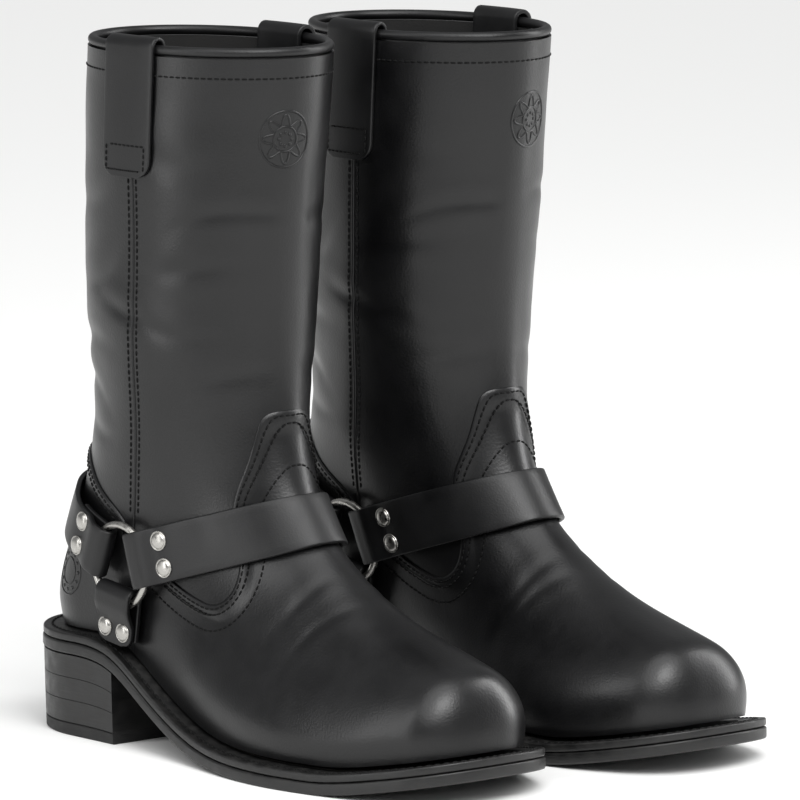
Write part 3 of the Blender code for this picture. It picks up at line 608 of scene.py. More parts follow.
# %% Edges of the panels
SEAM = [(100, 338), (100, 266), (98, 217), (95, 169), (88, 125), (84, 100)]
JOIN = (84, 100)
THROAT = [JOIN, (101, 89), (119, 80), (131, 76), (142, 75), (150, 80), (153, 92), (149.5, 107),
          (145.5, 119), (147, 131), (150.2, 143), (151.8, 154), (152.8, 161), (154.2, 165),
          (155.8, 166.3), (157, 166.5)]
COUNTER_TOP = [JOIN, (79, 108), (68, 117), (56, 126), (44, 136), (30, 143)]
TOPLINE_V, WELT_V, LINING_END = 0.009, 0.996, 0.53   # rows of the surface, 0 to 1
FINE = 200


def edge(points, side, meet, count, shift):
    """turn and v of even stations on an edge, moved to its left by millimetres; it ends on the
    centre plane, where turn is meet."""
    line = spline(points, FINE)
    turn, v = spot(line[:, 0], line[:, 1], side)
    turn[-1] = meet
    steps = np.linalg.norm(np.diff(skin(turn, v), axis=0), axis=1)
    even = np.interp(np.linspace(0, 1, count), np.r_[0, steps.cumsum()] / steps.sum(), np.arange(FINE))
    along = unit(np.gradient(line, axis=0))
    turn, v = spot(line[:, 0] - shift * along[:, 1], line[:, 1] + shift * along[:, 0], side)
    turn[-1] = meet
    return np.interp(even, np.arange(FINE), turn), np.interp(even, np.arange(FINE), v)


def over_front(points, count, shift):
    """An edge on both sides, joined at the front: outer to inner."""
    (a, p), (b, q) = (edge(points, side, 1.0, count, shift) for side in (1, -1))
    return np.r_[a, b[-2::-1]], np.r_[p, q[-2::-1]]


def over_back(points, count, shift):
    """An edge on both sides, joined at the back: inner to outer."""
    (a, p), (b, q) = (edge(points, side, 1 - side, count, shift) for side in (1, -1))
    return np.r_[b - 2, a[-2::-1]], np.r_[q, p[-2::-1]]


def seam_turns(v, side, shift):
    line = spline(SEAM, 60)
    turns, vs = spot(line[:, 0] + shift, line[:, 1], side)
    return np.interp(v, vs, turns)


throat_steps = np.linalg.norm(np.diff(spline(THROAT, 90), axis=0), axis=1)
print("throat edge is", round(float(throat_steps.sum())), "mm")

# %% [markdown]
# The lap is made in the lift: near its edge a vamp or counter rises onto the shaft and gets
# thinner, as skived leather does, and its cut edge is rounded over.

# %% Cutting the panels
LAP_RISE, LAP_THIN, LAP_FADE = 1.0, 1.15, 13.0


def panel(upper, lower, rows, crowd=1.0, seams=None, lapped=False):
    """A sheet of leather between two edges, each (turn, v)."""
    k = np.r_[0, 0.004, 0.010, np.linspace(0.02, 1, rows) ** crowd][:, None]
    c = np.linspace(0, 1, len(upper[0]))
    turn = upper[0] * (1 - k) + lower[0] * k
    v = upper[1] * (1 - k) + lower[1] * k
    if seams:
        for seam, end, weight in ((seams[0], 0, 1 - c), (seams[1], -1, c)):
            bow = seam(v[:, end]) - turn[:, end]
            bow -= bow[0] + (bow[-1] - bow[0]) * k[:, 0]
            turn = turn + bow[:, None] * weight
    at = skin(turn, v)
    top, bottom = np.zeros(turn.shape), np.full(turn.shape, -LEATHER)
    if lapped:
        from_edge = np.r_[np.zeros((1, at.shape[1])),
                          np.linalg.norm(np.diff(at, axis=0), axis=2).cumsum(0)]
        near = 1 - ease(from_edge, 3, LAP_FADE)
        top = LAP_RISE * near - 0.45 * (1 - ease(from_edge, 0, 1.1))
        bottom = -LEATHER + (LEATHER + LAP_RISE - LAP_THIN + 0.2) * near
    worn = wear(at)
    normal = unit(sample(NORMALS, turn, v))
    return slab(at + normal * (worn + top)[..., None], at + normal * (worn + bottom)[..., None])


def level(seam_from, seam_to, count, v):
    return np.linspace(seam_from, seam_to, 2 * count - 1), np.full(2 * count - 1, v)


UNDER, SLIT = 2.4, 0.1   # how far the shaft runs under a lap, and half the gap at a seam
COLS_FRONT, COLS_BACK = 76, 44

seams = (lambda v: seam_turns(v, 1, SLIT)), (lambda v: seam_turns(v, -1, SLIT))
lower = over_front(THROAT, COLS_FRONT, -UNDER)
lower[0][0], lower[0][-1] = (seam(lower[1][0]) for seam in seams)
upper = level(*(seam(TOPLINE_V) for seam in seams), COLS_FRONT, TOPLINE_V)
dress("shaft_front", panel(upper, lower, 120, 0.9, seams), HIDE, "black_upper_leather", "shaft_front")

seams = (lambda v: seam_turns(v, -1, -SLIT) - 2), (lambda v: seam_turns(v, 1, -SLIT))
lower = over_back(COUNTER_TOP, COLS_BACK, UNDER)
lower[0][0], lower[0][-1] = seams[0](lower[1][0]), seams[1](lower[1][-1])
upper = level(*(seam(TOPLINE_V) for seam in seams), COLS_BACK, TOPLINE_V)
dress("shaft_back", panel(upper, lower, 110, 0.9, seams), HIDE, "black_upper_leather", "shaft_back")

# %% Vamp and counter


def welt_turn(f, side):
    return float(spot(f, feather(f), side)[0][0])


spread = np.linspace(0, 1, 2 * COLS_FRONT - 1)
spread = spread + 0.06 * np.sin(2 * np.pi * spread)
start, end = (welt_turn(JOIN[0] + SLIT, side) for side in (1, -1))
lower = start + (end - start) * spread, np.full(2 * COLS_FRONT - 1, WELT_V)
dress("vamp", panel(over_front(THROAT, COLS_FRONT, 0.2), lower, 100, 1.1, lapped=True),
      HIDE, "black_upper_leather", "vamp")

start, end = welt_turn(JOIN[0] - SLIT, -1) - 2, welt_turn(JOIN[0] - SLIT, 1)
lower = level(start, end, COLS_BACK, WELT_V)
dress("counter", panel(over_back(COUNTER_TOP, COLS_BACK, -0.2), lower, 50, lapped=True),
      HIDE, "black_upper_leather", "counter")

# %% [markdown]
# ## Lining, piping and side seam
# Inside the shaft is a softer lining. Over the rim runs a roll of thin leather wrapped round a
# cord, the piping, which protects the cut edges. A thinner cord fills each side seam. Tubes built
# from loops can follow the surface exactly; a curve with a bevel would do the same.

# %% Rim pieces
PIPING_RADIUS, SEAM_CORD_RADIUS = 2.4, 0.95


def rim_point(turn, lift, z):
    """A point by the rim; above the topline it stands straight up."""
    v = np.interp(TOPLINE - np.minimum(z, TOPLINE), TOPLINE - TABLE[:, HALF // 2, 2],
                  np.linspace(0, 1, ROWS + 1))
    rise = np.maximum(z - TOPLINE, 0)
    return skin(turn, v, lift) + np.stack([0 * rise, 0 * rise, rise], -1)


def cord(line, normals, radius, sides=10, closed=False):
    """A round cord along a line of points."""
    ahead = np.roll(line, -1, 0) - np.roll(line, 1, 0) if closed else np.gradient(line, axis=0)
    cross = unit(np.cross(normals, unit(ahead)))
    up = unit(np.cross(unit(ahead), cross))
    a = np.linspace(0, 2 * np.pi, sides, endpoint=False)[:, None]
    circles = radius * (cross[:, None] * np.cos(a) + up[:, None] * np.sin(a))
    return stack(line[:, None] + circles, closed)


turn, v = np.meshgrid(np.linspace(0, 2, 120, endpoint=False),
                      LINING_END * np.linspace(TOPLINE_V / LINING_END, 1, 60))
dress("shaft_lining", slab(skin(turn, v, LINED[1]), skin(turn, v, LINED[0]), around=True),
      LINING_HIDE, "lining_leather", "shaft_lining")

turn = np.linspace(0, 2, 240, endpoint=False)
line = rim_point(turn, LINED[0] / 2 + 0 * turn, TOPLINE + 0 * turn)
dress("topline_piping", cord(line, np.tile([0.0, 0, 1], (240, 1)), PIPING_RADIUS, 16, closed=True),
      BRIDLE, "black_upper_leather", "topline_piping")

seam_cords = []
along_seam = spline(SEAM, 160)[6:]
for side in SIDES.values():
    turn, v = spot(along_seam[:, 0], along_seam[:, 1], side)
    seam_cords.append(cord(hide_at(turn, v, -0.25), unit(sample(NORMALS, turn, v)), SEAM_CORD_RADIUS))
dress("seam_cords", merged(seam_cords), BRIDLE, "black_upper_leather")

# %% [markdown]
# ## Welt, outsole and heel
# A Goodyear-welted boot has a strip of leather, the welt, sewn round the upper, and the outsole is
# sewn to the welt. The heel is a stack of leather lifts with a rubber lift on the floor. Each is a
# stack of loops whose corners are rounded a little by a trimming iron. The loops come from the
# last's own feather line, moved outwards.

# %% Bottom
WELT_GROOVE = (6.4, 5.8, 5.2)   # outside of the feather line; the stitches lie along its middle


def plan_loop(lift):
    """The feather line in plan, moved out by millimetres: (f, s) once around."""
    loop = TABLE[-1, :, :2]
    ahead = unit(np.roll(loop, -1, 0) - np.roll(loop, 1, 0))
    out = np.stack([ahead[:, 1], -ahead[:, 0]], -1)
    if ((loop - loop.mean(0)) * out).sum() < 0:
        out = -out
    return loop + lift * out


def sole_loop(lift, height):
    """A loop at that lift, height millimetres above the outsole's underside."""
    flat = plan_loop(lift)
    return np.concatenate([flat, (np.maximum(underside(flat[:, 0]), 0) + height)[:, None]], 1)


def rounded(low, high, lift, radius):
    """(lift, height) pairs up the rounded edge of a plate."""
    a = np.linspace(0, np.pi / 2, 5)
    lower_edge = [(lift - radius + radius * math.sin(t), low + radius - radius * math.cos(t))
                  for t in a]
    return lower_edge + [(x, low + high - y) for x, y in lower_edge[::-1]]


def edge_plate(low, high, lift, radius):
    return [sole_loop(x, y) for x, y in [(lift - 4, low)] + rounded(low, high, lift, radius)
            + [(lift - 4, high)]]


dress("outsole", stack(edge_plate(0, OUTSOLE, SOLE_EDGE, 1.1)), EDGE, "black_sole_edge", "outsole",
      sharp=60)
welt_low = OUTSOLE + GAP
welt_top = welt_low + WELT
section = [(-3.0, welt_low)] + rounded(welt_low, welt_top, SOLE_EDGE - 0.3, 1.0)
section += list(zip(WELT_GROOVE, (welt_top, welt_top - 0.5, welt_top))) + [(-3.0, welt_top)]
dress("welt", stack([sole_loop(x, y) for x, y in section], closed=True), EDGE, "black_sole_edge", "welt",
      sharp=60)

# %% [markdown]
# The heel is cut straight across at the front, the breast, and narrows a little to the floor.

# %% Heel lifts
FLOOR_LIFT, LIFTS = 6.5, 4


def heel_loop(lift, share):
    """Outline of the heel at a share of its height, from one breast corner round to the other."""
    flat = plan_loop(lift - 1.0 * (1 - share) ** 1.2)
    outer, inner = flat[:HALF], flat[:HALF:-1]
    halves = []
    for half in (outer, inner):
        index = np.arange(len(half))
        station = np.linspace(np.interp(HEEL_LENGTH, half[:, 0], index), 0.5, 34)
        line = np.stack([np.interp(station, index, half[:, k]) for k in (0, 1)], -1)
        line[0] = HEEL_LENGTH, np.interp(HEEL_LENGTH, half[:, 0], half[:, 1])
        halves.append(line)
    flat = np.concatenate([halves[0], halves[1][::-1]])
    top = np.maximum(underside(flat[:, 0]), 0) - 1.5 * GAP
    return np.concatenate([flat, (top * share)[:, None]], 1)


def heel_lift(low, high, bevel=0.2):
    """One lift between two shares of the heel's height."""
    step = bevel / HEEL_SEAT
    lift = SOLE_EDGE - 0.5
    return stack([heel_loop(lift - bevel, low), heel_loop(lift, low + step),
                  heel_loop(lift, high - step), heel_loop(lift - bevel, high)])


rubber_top = FLOOR_LIFT / HEEL_SEAT
dress("heel_rubber_lift", heel_lift(0, rubber_top, 0.8), RUBBER, "black_heel_stack", sharp=30)
shares = np.linspace(rubber_top, 1, LIFTS)
dress("heel_stack", merged([heel_lift(a, b) for a, b in zip(shares, shares[1:])]), STACK,
      "black_heel_stack", "heel_block", sharp=30)

# %% [markdown]
# ## The harness
# Three straps meet at a steel ring on each side of the ankle. Each strap goes round the ring,
# comes back under itself, and two rivets hold the fold. Where it lies on the boot it follows the
# leather; near the ring it runs straight. A strap is a cross-section with rounded edges carried
# along those stations.

# %% Strap paths
# from a ring's centre: the end of the returned layer and the rivets; then the rivets' spacing
RETURN_END, RIVET_SPOT, RIVET_ROW = 38.0, 32.0, 13.2
FLAT_TABLE, FLAT_NORMALS = TABLE[::2, ::2].reshape(-1, 3), NORMALS[::2, ::2].reshape(-1, 3)


def ring_axes(side):
    """Centre of a ring, and forward, up and outward directions of its plane."""
    centre, out = frame_at(side)
    forward = unit(np.cross(out, [0, 0, 1.0])) * -side
    up = np.cross(out, forward)
    return centre, forward, up if up[2] > 0 else -up, out


AXES = {side: ring_axes(side) for side in SIDES.values()}


def clearance(points):
    """Distance of points outside the boot, by the nearest point of its surface."""
    near = ((points[:, None] - FLAT_TABLE) ** 2).sum(-1).argmin(-1)
    return ((points - FLAT_TABLE[near]) * FLAT_NORMALS[near]).sum(-1)


def strap_half(side, end, width, first, length=None):
    """Stations of a strap from its far end to the ring and back under itself."""
    centre, out = AXES[side][0], AXES[side][3]
    t = np.sin(np.linspace(0, np.pi / 2, 80))
    turn, v = spot(*(near + (far - near) * t for near, far in zip(RING_SPOT, end)), side)
    laid, normals = skin(turn, v, ON_LEATHER), unit(sample(NORMALS, turn, v))
    away = np.r_[0, np.cumsum(np.linalg.norm(np.diff(laid, axis=0), axis=1))]
    total = length or away[-1]
    heading = laid[np.searchsorted(away, 35.0)] - centre
    heading = unit(heading - heading.dot(out) * out)
    flat_across = np.cross(out, heading)

    def base(r):
        """Centre line and direction across of a strap on the leather at r."""
        on = np.stack([np.interp(r, away, laid[:, k]) for k in range(3)], -1)
        normal = unit(np.stack([np.interp(r, away, normals[:, k]) for k in range(3)], -1))
        mix = ease(r, 22, 46)[:, None]
        flat = centre + heading * r[:, None] - out * WIRE_ROOM
        line, normal = flat * (1 - mix) + on * mix, unit(out * (1 - mix) + normal * mix)
        across = unit(np.cross(normal, np.gradient(line, axis=0)))
        across *= np.sign(across @ flat_across)[:, None]
        turned = ease(r, 37, 55)[:, None]
        across = unit(flat_across * (1 - turned) + across * turned)
        probe = np.linspace(-0.5, 0.5, 7)[:, None]
        short = np.array([STRAP_CLEAR - clearance(point - n * STRAP / 2 + cross * width * probe).min()
                          for point, n, cross in zip(line, normal, across)])
        short = np.maximum(short, 0)
        padded = np.pad(short, 3, mode="edge")
        short = np.maximum(np.convolve(padded, np.ones(7) / 7, "valid"), 0.6 * short)
        return line + normal * short[:, None], normal, across

    if length:
        over = np.linspace(first, total, 24)
    else:
        over = np.r_[np.linspace(first, 46, 22)[:-1],
                     np.linspace(46, total, max(int((total - 46) / 2.5), 2))]
    lift = 2 * WIRE_ROOM + (STRAP + 2 * GAP - 2 * WIRE_ROOM) * ease(over, 19, 31)
    if not length:
        lift = lift * (1 - ease(over, RETURN_END - 4, RETURN_END + 24))
    on, normal, across_outer = base(over)
    outer = on + normal * lift[:, None]
    under = base(np.linspace(first, min(RETURN_END, total - 3), 12))[0]
    angles = np.linspace(0, np.pi, 13)[1:-1, None]
    pivot = centre + heading * first
    fold = pivot + out * WIRE_ROOM * np.cos(angles) - heading * WIRE_ROOM * np.sin(angles)
    turns = np.repeat(flat_across[None], len(fold) + len(under), 0)
    return (np.concatenate([outer[::-1], fold, under]), np.concatenate([across_outer[::-1], turns]),
            over[::-1])


def band(points, sideways, width, corner=0.0):
    """A strap with rounded edges; corner rounds its first end, in millimetres."""
    normal = unit(np.cross(np.gradient(points, axis=0), sideways))
    a, r = np.linspace(0, np.pi / 2, 4), 0.75
    quarter = [(0.5 * width - r + r * math.cos(t), 0.5 * STRAP - r + r * math.sin(t)) for t in a]
    flat = [(x, STRAP / 2 + 0.12 * (1 - (2 * x / width) ** 2))
            for x in np.linspace(0.36, -0.36, 5) * width]
    upper = quarter + flat + [(-x, y) for x, y in quarter[::-1]]
    profile = np.array(upper + [(x, -y) for x, y in upper[::-1]])
    reach = np.r_[0, np.linalg.norm(np.diff(points, axis=0), axis=1).cumsum()]
    inside = np.clip(corner - reach, 0, corner)
    narrow = corner - np.sqrt(np.maximum(corner ** 2 - inside ** 2, 0))
    squeeze = 1 - 2 * narrow / width
    return stack(points[:, None] + sideways[:, None] * (profile[:, 0] * squeeze[:, None])[..., None]
                 + normal[:, None] * profile[:, 1][None, :, None])


def rivet_seats(points, sideways, away):
    """Where two rivets sit side by side on a strap's upper layer: (point, outward normal)."""
    count = len(away)
    at = [np.array([np.interp(r, away[::-1], points[:count][::-1, k]) for k in range(3)])
          for r in (RIVET_SPOT - 2, RIVET_SPOT, RIVET_SPOT + 2)]
    cross = unit(np.array([np.interp(RIVET_SPOT, away[::-1], sideways[:count][::-1, k])
                           for k in range(3)]))
    out = unit(np.cross(at[2] - at[0], cross))
    if clearance(at[1][None] + out) < clearance(at[1][None]):
        out = -out
    return [(at[1] + out * (STRAP / 2 + 0.1) + cross * RIVET_ROW / 2 * way, out) for way in (-1, 1)]


print("ring centre stands", round(float(clearance(AXES[1][0][None])[0]), 2), "mm off the leather")

# %% Front, heel and side straps


def strap_across(end, width, first):
    """A strap from the outer ring to the inner one, with the seats of its rivets."""
    points, sideways, seats = [], [], []
    for side in SIDES.values():
        line, cross, away = strap_half(side, end, width, first)
        seats.append(rivet_seats(line, cross, away))
        points.append(line)
        sideways.append(cross)
    if sideways[0][0] @ sideways[1][0] < 0:
        sideways[1] = -sideways[1]
    middle = (points[0][0] + points[1][0]) / 2
    points = np.concatenate([points[0][:0:-1], [middle], points[1][1:]])
    return band(points, np.concatenate([sideways[0][:0:-1], sideways[1]]), width), seats


SIDE_STRAP_REACH, SIDE_STRAP_LEAN = 39.0, math.radians(8.0)


def strap_down(side, width, first):
    """A strap from a ring down to the welt, leaning back, with the seats of its rivets."""
    end = (RING_SPOT[0] - 60 * math.sin(SIDE_STRAP_LEAN), RING_SPOT[1] - 60 * math.cos(SIDE_STRAP_LEAN))
    line, cross, away = strap_half(side, end, width, first, SIDE_STRAP_REACH)
    return band(line, cross, width, corner=5.0), rivet_seats(line, cross, away)


FRONT_STRAP, SHORT_STRAP = (27.0, 13.3), (24.6, 14.55)   # width, and where the fold starts
seats = {}
for name, outline, height, sizes in (("front_strap", FRONT, 115, FRONT_STRAP),
                                     ("heel_strap", BACK, 113, SHORT_STRAP)):
    strap, ends = strap_across((float(line_at(outline, height)), height), *sizes)
    dress(name, strap, BRIDLE, "black_upper_leather", name)
    seats[f"{name}_outer"], seats[f"{name}_inner"] = ends
for which, side in SIDES.items():
    strap, seats[f"side_strap_{which}"] = strap_down(side, *SHORT_STRAP)
    dress(f"side_strap_{which}", strap, BRIDLE, "black_upper_leather", f"side_strap_{which}")

# %% [markdown]
# ## Rings and rivets
# The rings are drawn wire, butt-welded and nickel plated, so they are plain tori. Each turns on
# its own body. A harness rivet has a domed cap with a pressed rim round it, which catches the
# light as a bright circle, so the rim is modelled rather than painted.

# %% Hardware


def turned(centre, out, profile, sides=28):
    """A solid turned about out: profile is (radius, height) from the base up."""
    side_on = unit(np.cross(out, [0, 0, 1.0]))
    up = np.cross(out, side_on)
    a = np.linspace(0, 2 * np.pi, sides, endpoint=False)[:, None]
    circle = side_on * np.cos(a) + up * np.sin(a)
    return stack([centre + circle * radius + out * height for radius, height in profile])


# radius and height, from the seat to the top of the dome
CAP = [(4.8, 0), (4.8, 0.35), (4.65, 0.6), (4.3, 0.68), (4.0, 0.55), (3.9, 0.68), (3.65, 1.05),
       (3.1, 1.38), (2.2, 1.62), (1.2, 1.74), (0.4, 1.77)]
for strap_name, spots in seats.items():
    for number, (point, out) in enumerate(spots, 1):
        name = f"rivet_{strap_name}_{number}"
        for boot in BOOTS:
            piece(boot, name, turned(point, out, CAP), NICKEL, [name], sharp=35)
for which, side in SIDES.items():
    centre, forward, up, out = AXES[side]
    a = np.linspace(0, 2 * np.pi, 96, endpoint=False)[:, None]
    circle = centre + RING_RADIUS * (forward * np.cos(a) + up * np.sin(a))
    wire = cord(circle, np.tile(out, (96, 1)), RING_WIRE, 16, closed=True)
    for boot in BOOTS:
        piece(boot, f"ring_{which}", wire, NICKEL, [f"ring_{which}"],
              body=f"{boot.name}_ring_{which}")
print("rivets:", 2 * len(seats), "on each boot, rings: 2 on each boot")

# %% [markdown]
# ## Pull straps
# Two loops of strap, one over each side seam, go over the rim and are sewn down outside and
# inside. The strap's path is drawn in section and swept across its width.

# %% Pull straps
PULL_STRAP, PULL_WIDTH, PULL_REACH = 2.2, 33.0, 61.0
PULL_CORNER = 8.0        # rounds the lower end
PULL_OUT = 0.5 + PULL_STRAP / 2


def pull_turns(side):
    half = PULL_WIDTH / 2
    return spot([SEAM[0][0] - half, SEAM[0][0] + half], [TOPLINE - 8] * 2, side)[0]


def pull_strap(side):
    """The path is a list of (lift off the skin, height): up the outside, over and down inside."""
    first, last = pull_turns(side)
    inside = LINED[0] - 0.5 - PULL_STRAP / 2
    middle, radius = (PULL_OUT + inside) / 2, (PULL_OUT - inside) / 2
    low = TOPLINE - PULL_REACH
    rise = np.r_[0, 0.3, 1, 2, 3.5, 5.5, 8, np.linspace(10, PULL_REACH - 4, 18)]
    line = [(PULL_OUT, z) for z in low + rise]
    line += [(middle + radius * math.cos(a), TOPLINE + 1 + radius * math.sin(a))
             for a in np.linspace(0, math.pi, 19)]
    line += [(inside, z) for z in np.linspace(TOPLINE - 4, low + 14, 14)]
    line = np.array(line)
    ahead = unit(np.gradient(line, axis=0))
    normal = np.stack([ahead[:, 1], -ahead[:, 0]], -1) * PULL_STRAP / 2
    a = np.linspace(0, np.pi / 2, 4)
    edge_part = [(0.022 * (1 - math.sin(t)), math.cos(t) * 0.6) for t in a]
    upper = [(w, 1 - 0.6 + n) for w, n in edge_part[::-1]]
    upper += [(w, 1.0) for w in np.linspace(0.08, 0.92, 9)]
    upper += [(1 - w, 1 - 0.6 + n) for w, n in edge_part]
    profile = np.array(upper + [(w, -n) for w, n in upper[::-1]])
    past_round = np.full(len(line) - len(rise), PULL_CORNER)
    short_of_round = np.clip(PULL_CORNER - np.r_[rise, past_round], 0, None)
    cut = PULL_CORNER - np.sqrt(PULL_CORNER ** 2 - short_of_round ** 2)
    narrow = 1 - 2 * cut[:, None] / PULL_WIDTH
    turn = (first + last) / 2 + (last - first) * (profile[:, 0] - 0.5) * narrow
    lift = line[:, 0:1] + normal[:, 0:1] * profile[:, 1]
    z = line[:, 1:2] + normal[:, 1:2] * profile[:, 1]
    return stack(rim_point(turn, lift, z))


for which, side in SIDES.items():
    name = f"pull_strap_{which}"
    dress(name, pull_strap(side), BRIDLE, "black_upper_leather", name)

# %% [markdown]
# ## Stitches
# Boots are sewn with thick waxed thread, about three stitches to the centimetre. Each stitch is a
# short piece of thread that dips into the leather at both ends. A few hundred small meshes are
# quick to make with numpy and take the light as real thread does, which a painted line doesn't.

# %% Sewing
PITCH, THREAD_RADIUS = 3.3, 0.45
LAP_ROWS, TONGUE_ROW = (2.0, 4.8), 12.0   # distance in from a lapped edge
SEAM_ROW, RIM_ROW = 2.8, 12               # distance from the side seam and from the topline


def sewn(line, normals, pitch=PITCH, radius=THREAD_RADIUS):
    """A row of stitches along a line of points."""
    reach = np.r_[0, np.linalg.norm(np.diff(line, axis=0), axis=1).cumsum()]
    middle = (np.arange(int(reach[-1] / pitch)) + 0.5) * pitch
    share = np.array([-1, -0.8, -0.3, 0.3, 0.8, 1]) * 0.42 * pitch
    thick = np.array([0.4, 0.9, 1.0, 1.0, 0.9, 0.4]) * radius
    height = np.array([-0.9, -0.1, 0.25, 0.25, -0.1, -0.9]) * radius
    at = middle[:, None] + share
    p, n = (np.stack([np.interp(at, reach, grid[:, k]) for k in range(3)], -1)
            for grid in (line, normals))
    n = unit(n)
    ahead = unit(p[:, -1:] - p[:, :1])
    cross = unit(np.cross(n, ahead))
    a = np.linspace(0, 2 * np.pi, 6, endpoint=False)[:, None]
    middle_line = p + n * height[:, None]
    loops = middle_line[:, :, None] + thick[:, None, None] * (cross[:, :, None] * np.cos(a)
                                                              + n[:, :, None] * np.sin(a))
    one = stack(loops[0])[1]
    points_each = loops.shape[1] * loops.shape[2]
    offset = (np.arange(len(loops)) * points_each)[:, None, None]
    return loops.reshape(-1, 3), (one + offset).reshape(-1, 4)


def sewn_on(turn, v, lift=0.0):
    return sewn(hide_at(turn, v, lift), unit(sample(NORMALS, turn, v)))


def lap_lift(inset):
    """How high a lapped panel stands this far in from its edge."""
    return float(LAP_RISE * (1 - ease(inset, 3, LAP_FADE)))


def inset_row(points, inset, middle, meet):
    """turn and v of a row inside an edge, on both sides, joined where it meets the centre plane.
    middle is the outline it stops at, and meet is the turn there."""
    line = spline(points, 260)
    ahead = unit(np.gradient(line, axis=0))
    f, z = line[:, 0] + inset * ahead[:, 1], line[:, 1] - inset * ahead[:, 0]
    past = (f - line_at(middle, z)) * (1 if meet else -1) > -0.05
    stop = int(np.argmax(past)) if past.any() else len(f)
    turn, v = spot(f[:stop], z[:stop], 1)
    turn, v = np.r_[turn, float(meet)], np.r_[v, v[-1] + (v[-1] - v[-2]) * 0.3]
    return np.r_[turn, (2 * meet - turn)[-2::-1]], np.r_[v, v[-2::-1]]


rows = [sewn_on(*inset_row(THROAT, inset, FRONT, 1), lap_lift(inset))
        for inset in (*LAP_ROWS, TONGUE_ROW)]
rows += [sewn_on(*inset_row(COUNTER_TOP, -inset, BACK, 0), lap_lift(inset)) for inset in LAP_ROWS]
for side in SIDES.values():
    for shift in (-SEAM_ROW, SEAM_ROW):
        down_seam = spline([(f + shift, z) for f, z in SEAM[:-1]] + [(86 + shift, 112)], 150)[8:]
        rows.append(sewn_on(*spot(down_seam[:, 0], down_seam[:, 1], side)))
turn = np.linspace(0, 2, 400)
rows.append(sewn_on(turn, SHAFT_SHARE * RIM_ROW / (TOPLINE - ANKLE) + 0 * turn))
dress("upper_stitches", merged(rows), THREAD, "black_upper_leather")

# %% Stitches of the pull straps and the welt


def box_rows(side):
    """A box of stitches at the lower end of a pull strap."""
    first, last = pull_turns(side)
    low, high = TOPLINE - PULL_REACH + 3, TOPLINE - PULL_REACH + 15
    middle, half = (first + last) / 2, (last - first) / 2
    corners = [(-0.8, high), (-0.8, low), (0.8, low), (0.8, high), (-0.8, high)]
    made = []
    for (a, p), (b, q) in zip(corners, corners[1:]):
        t = np.linspace(0, 1, 30)
        turn = middle + half * (a + (b - a) * t)
        z = p + (q - p) * t
        line, under = (rim_point(turn, lift + 0 * t, z) for lift in (PULL_OUT + PULL_STRAP / 2, 0))
        normals = line - under
        if p == q:
            normals = np.cross(np.gradient(under, axis=0) + 1e-9, [0.0, 0, 1])
        made.append(sewn(line, unit(normals), pitch=3.0))
    return merged(made)


dress("pull_strap_stitches", merged([box_rows(side) for side in SIDES.values()]), THREAD,
      "black_upper_leather")
loop = sole_loop(WELT_GROOVE[1], welt_top - 0.05)
loop = np.concatenate([loop, loop[:1]])
fine = np.stack([np.interp(np.linspace(0, COLUMNS, 900), np.arange(COLUMNS + 1), loop[:, k])
                 for k in range(3)], -1)
dress("welt_stitches", sewn(fine, np.tile([0.0, 0, 1], (900, 1)), pitch=4.2, radius=0.55), THREAD,
      "black_sole_edge")

# %% [markdown]
# ## Pressed marks
# A maker presses a mark into the shaft and one into the counter. Here they are plain ones: a
# rosette of petals in two circles, and a ring of dots. Each line is a thin roll of the same
# leather standing half out of the surface, which is what a pressed relief looks like.

# %% Rosette and ring of dots


FINE_TABLE, FINE_NORMALS = TABLE.reshape(-1, 3), NORMALS.reshape(-1, 3)
ROSETTE_AT = (float(line_at(FRONT, 297)) - 0.9, 297)
DOTS_AT = (31, 78)
PETALS, DOTS = 8, 12
ROUND = np.linspace(0, 2 * np.pi, 121)[:-1]


def pressed(centre, radius, angles):
    """Points on the worn leather round a centre in side view, at radius and angles."""
    turn, v = spot(centre[0], centre[1])
    at, normal = skin(turn, v)[0], unit(sample(NORMALS, turn, v))[0]
    along = unit(np.cross([0, 0, 1.0], normal))
    up = np.cross(normal, along)
    where = at + radius[:, None] * (along * np.cos(angles)[:, None] + up * np.sin(angles)[:, None])
    near = ((where[:, None] - FINE_TABLE) ** 2).sum(-1).argmin(-1)
    close, out = FINE_TABLE[near], FINE_NORMALS[near]
    on = where - ((where - close) * out).sum(-1)[:, None] * out
    return on + out * wear(on)[:, None], out


def roll(centre, radius, sunk, thick):
    """A raised line round a centre, at one radius or at one for each angle."""
    on, out = pressed(centre, radius + 0 * ROUND, ROUND)
    return cord(on - out * sunk, out, thick, 8, closed=True)


def beads(centre, radius, count, profile):
    """A circle of small domes."""
    made = []
    for k in range(count):
        on, out = pressed(centre, np.array([radius]), np.array([2 * np.pi * k / count]))
        made.append(turned(on[0] - out[0] * 0.3, out[0], profile, 12))
    return made


petals = 9.2 + 2.6 * np.cos(PETALS * ROUND)
rosette = [roll(ROSETTE_AT, radius, 0.15, 0.6) for radius in (6.0, 13.5, petals)]
rosette += beads(ROSETTE_AT, 3.2, PETALS, [(1.0, 0), (0.9, 0.5), (0.5, 0.75)])
dress("shaft_rosette", merged(rosette), HIDE, "black_upper_leather")
dots = [roll(DOTS_AT, radius, 0.2, 0.5) for radius in (6.6, 11.6)]
dots += beads(DOTS_AT, 9.1, DOTS, [(0.95, 0), (0.85, 0.5), (0.5, 0.7)])
dress("counter_dots", merged(dots), HIDE, "black_upper_leather")

# %% [markdown]
# ## Insole
# The insole in the frame already has the right shape, so it keeps its mesh and only gets its
# finish.

# %% Insole finish
for boot in BOOTS:
    insole = frame["nodes"][f"{boot.name}_insole"]
    for material_slot in insole.material_slots:
        material_slot.material = BOARD
print("insoles finished:", len(BOOTS))

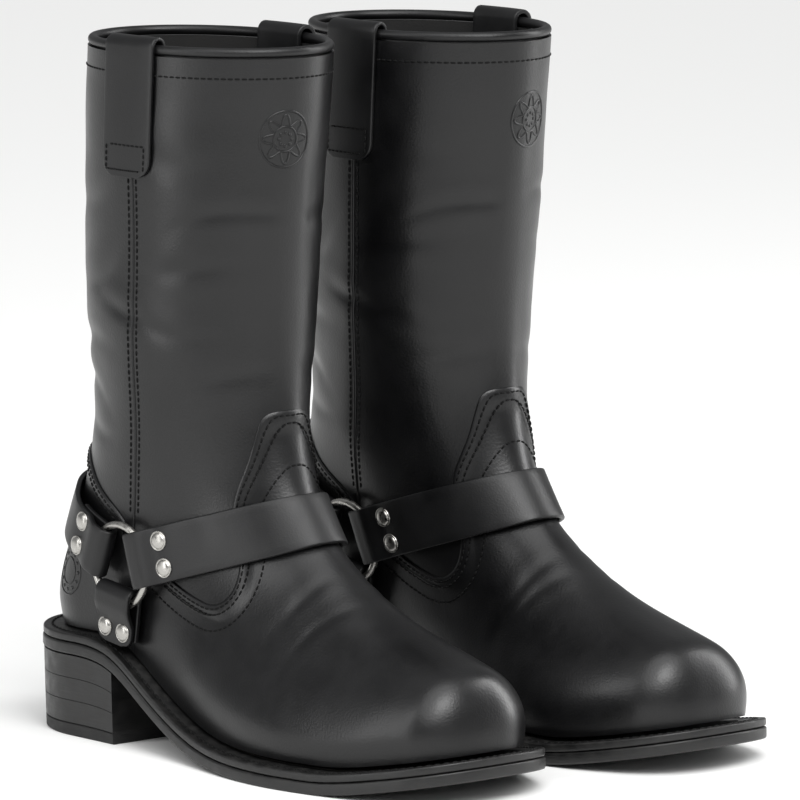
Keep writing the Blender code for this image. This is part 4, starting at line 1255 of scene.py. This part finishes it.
# %% [markdown]
# ## Studio
# Black leather is drawn by what it reflects, so the lights are large soft boxes: one at each side
# for the long streaks down the shafts and one over the toes. A very wide sun lights the pale floor
# evenly as far as it can be seen, which no soft box near the boots could do.

# %% Floor and lights


def softbox(name, place, aim, size, watts):
    light = bpy.data.lights.new(name, "AREA")
    light.shape, light.size, light.size_y, light.energy = "RECTANGLE", size[0], size[1], watts
    lamp = set_out(name, light)
    lamp.location = place
    lamp.rotation_euler = (Vector(aim) - Vector(place)).to_track_quat("-Z", "Y").to_euler()
    lamp.visible_camera = False


FLOOR_REACH = 30   # metres
floor_mesh = bpy.data.meshes.new("floor")
corners = [(x * FLOOR_REACH, y * FLOOR_REACH, 0) for x, y in ((-1, -1), (1, -1), (1, 1), (-1, 1))]
floor_mesh.from_pydata(corners, [], [(0, 1, 2, 3)])
floor_mesh.materials.append(blank("pale_studio_floor", "#f1f1f0", 0.8)[0])
set_out("floor", floor_mesh)
softbox("left_box", (-1.9, 0.5, 0.8), (0, 0, 0.2), (0.5, 1.8), 13)
softbox("right_box", (1.7, -0.7, 0.9), (0.05, 0, 0.2), (0.4, 1.6), 22)
softbox("toe_box", (-0.5, -1.5, 1.7), (0, -0.1, 0.08), (1.1, 0.8), 24)
sky = bpy.data.lights.new("even_light", "SUN")
sky.energy, sky.angle = 2.5, math.radians(70)
set_out("even_light", sky).rotation_euler = Vector((0.35, 0.5, -1.0)).to_track_quat("-Z", "Y").to_euler()
world = bpy.data.worlds.new("pale_room")
bpy.context.scene.world = world
world.use_nodes = True
glow = world.node_tree.nodes["Background"]
glow.inputs["Color"].default_value, glow.inputs["Strength"].default_value = colour("#f4f5f6"), 0.32
bpy.context.scene.view_settings.view_transform = "Standard"

# %% [markdown]
# ## Camera
# A long lens from a low height, a good way off, keeps the two boots nearly the same size. Its
# place is worked out from the right boot's, so that it follows the frame.

# %% Camera
TURN_ROUND, RISE, DISTANCE, LENS = -0.7265, 0.1422, 4.082, 373.4   # radians, metres, millimetres
AIM = Vector(BOOTS[0].place) + Vector((0.1378, -0.0804, 0.1503))
back = Vector((math.sin(TURN_ROUND) * math.cos(RISE), -math.cos(TURN_ROUND) * math.cos(RISE),
               math.sin(RISE)))
camera_data = bpy.data.cameras.new("camera")
camera_data.lens, camera_data.sensor_width = LENS, 36
camera_data.clip_start, camera_data.clip_end = 0.1, 100
camera = set_out("camera", camera_data)
camera.location = AIM + back * DISTANCE
camera.rotation_mode = "QUATERNION"
camera.rotation_quaternion = (-back).to_track_quat("-Z", "Y")
bpy.context.scene.camera = camera
print("camera stands", round(DISTANCE, 2), "m away")
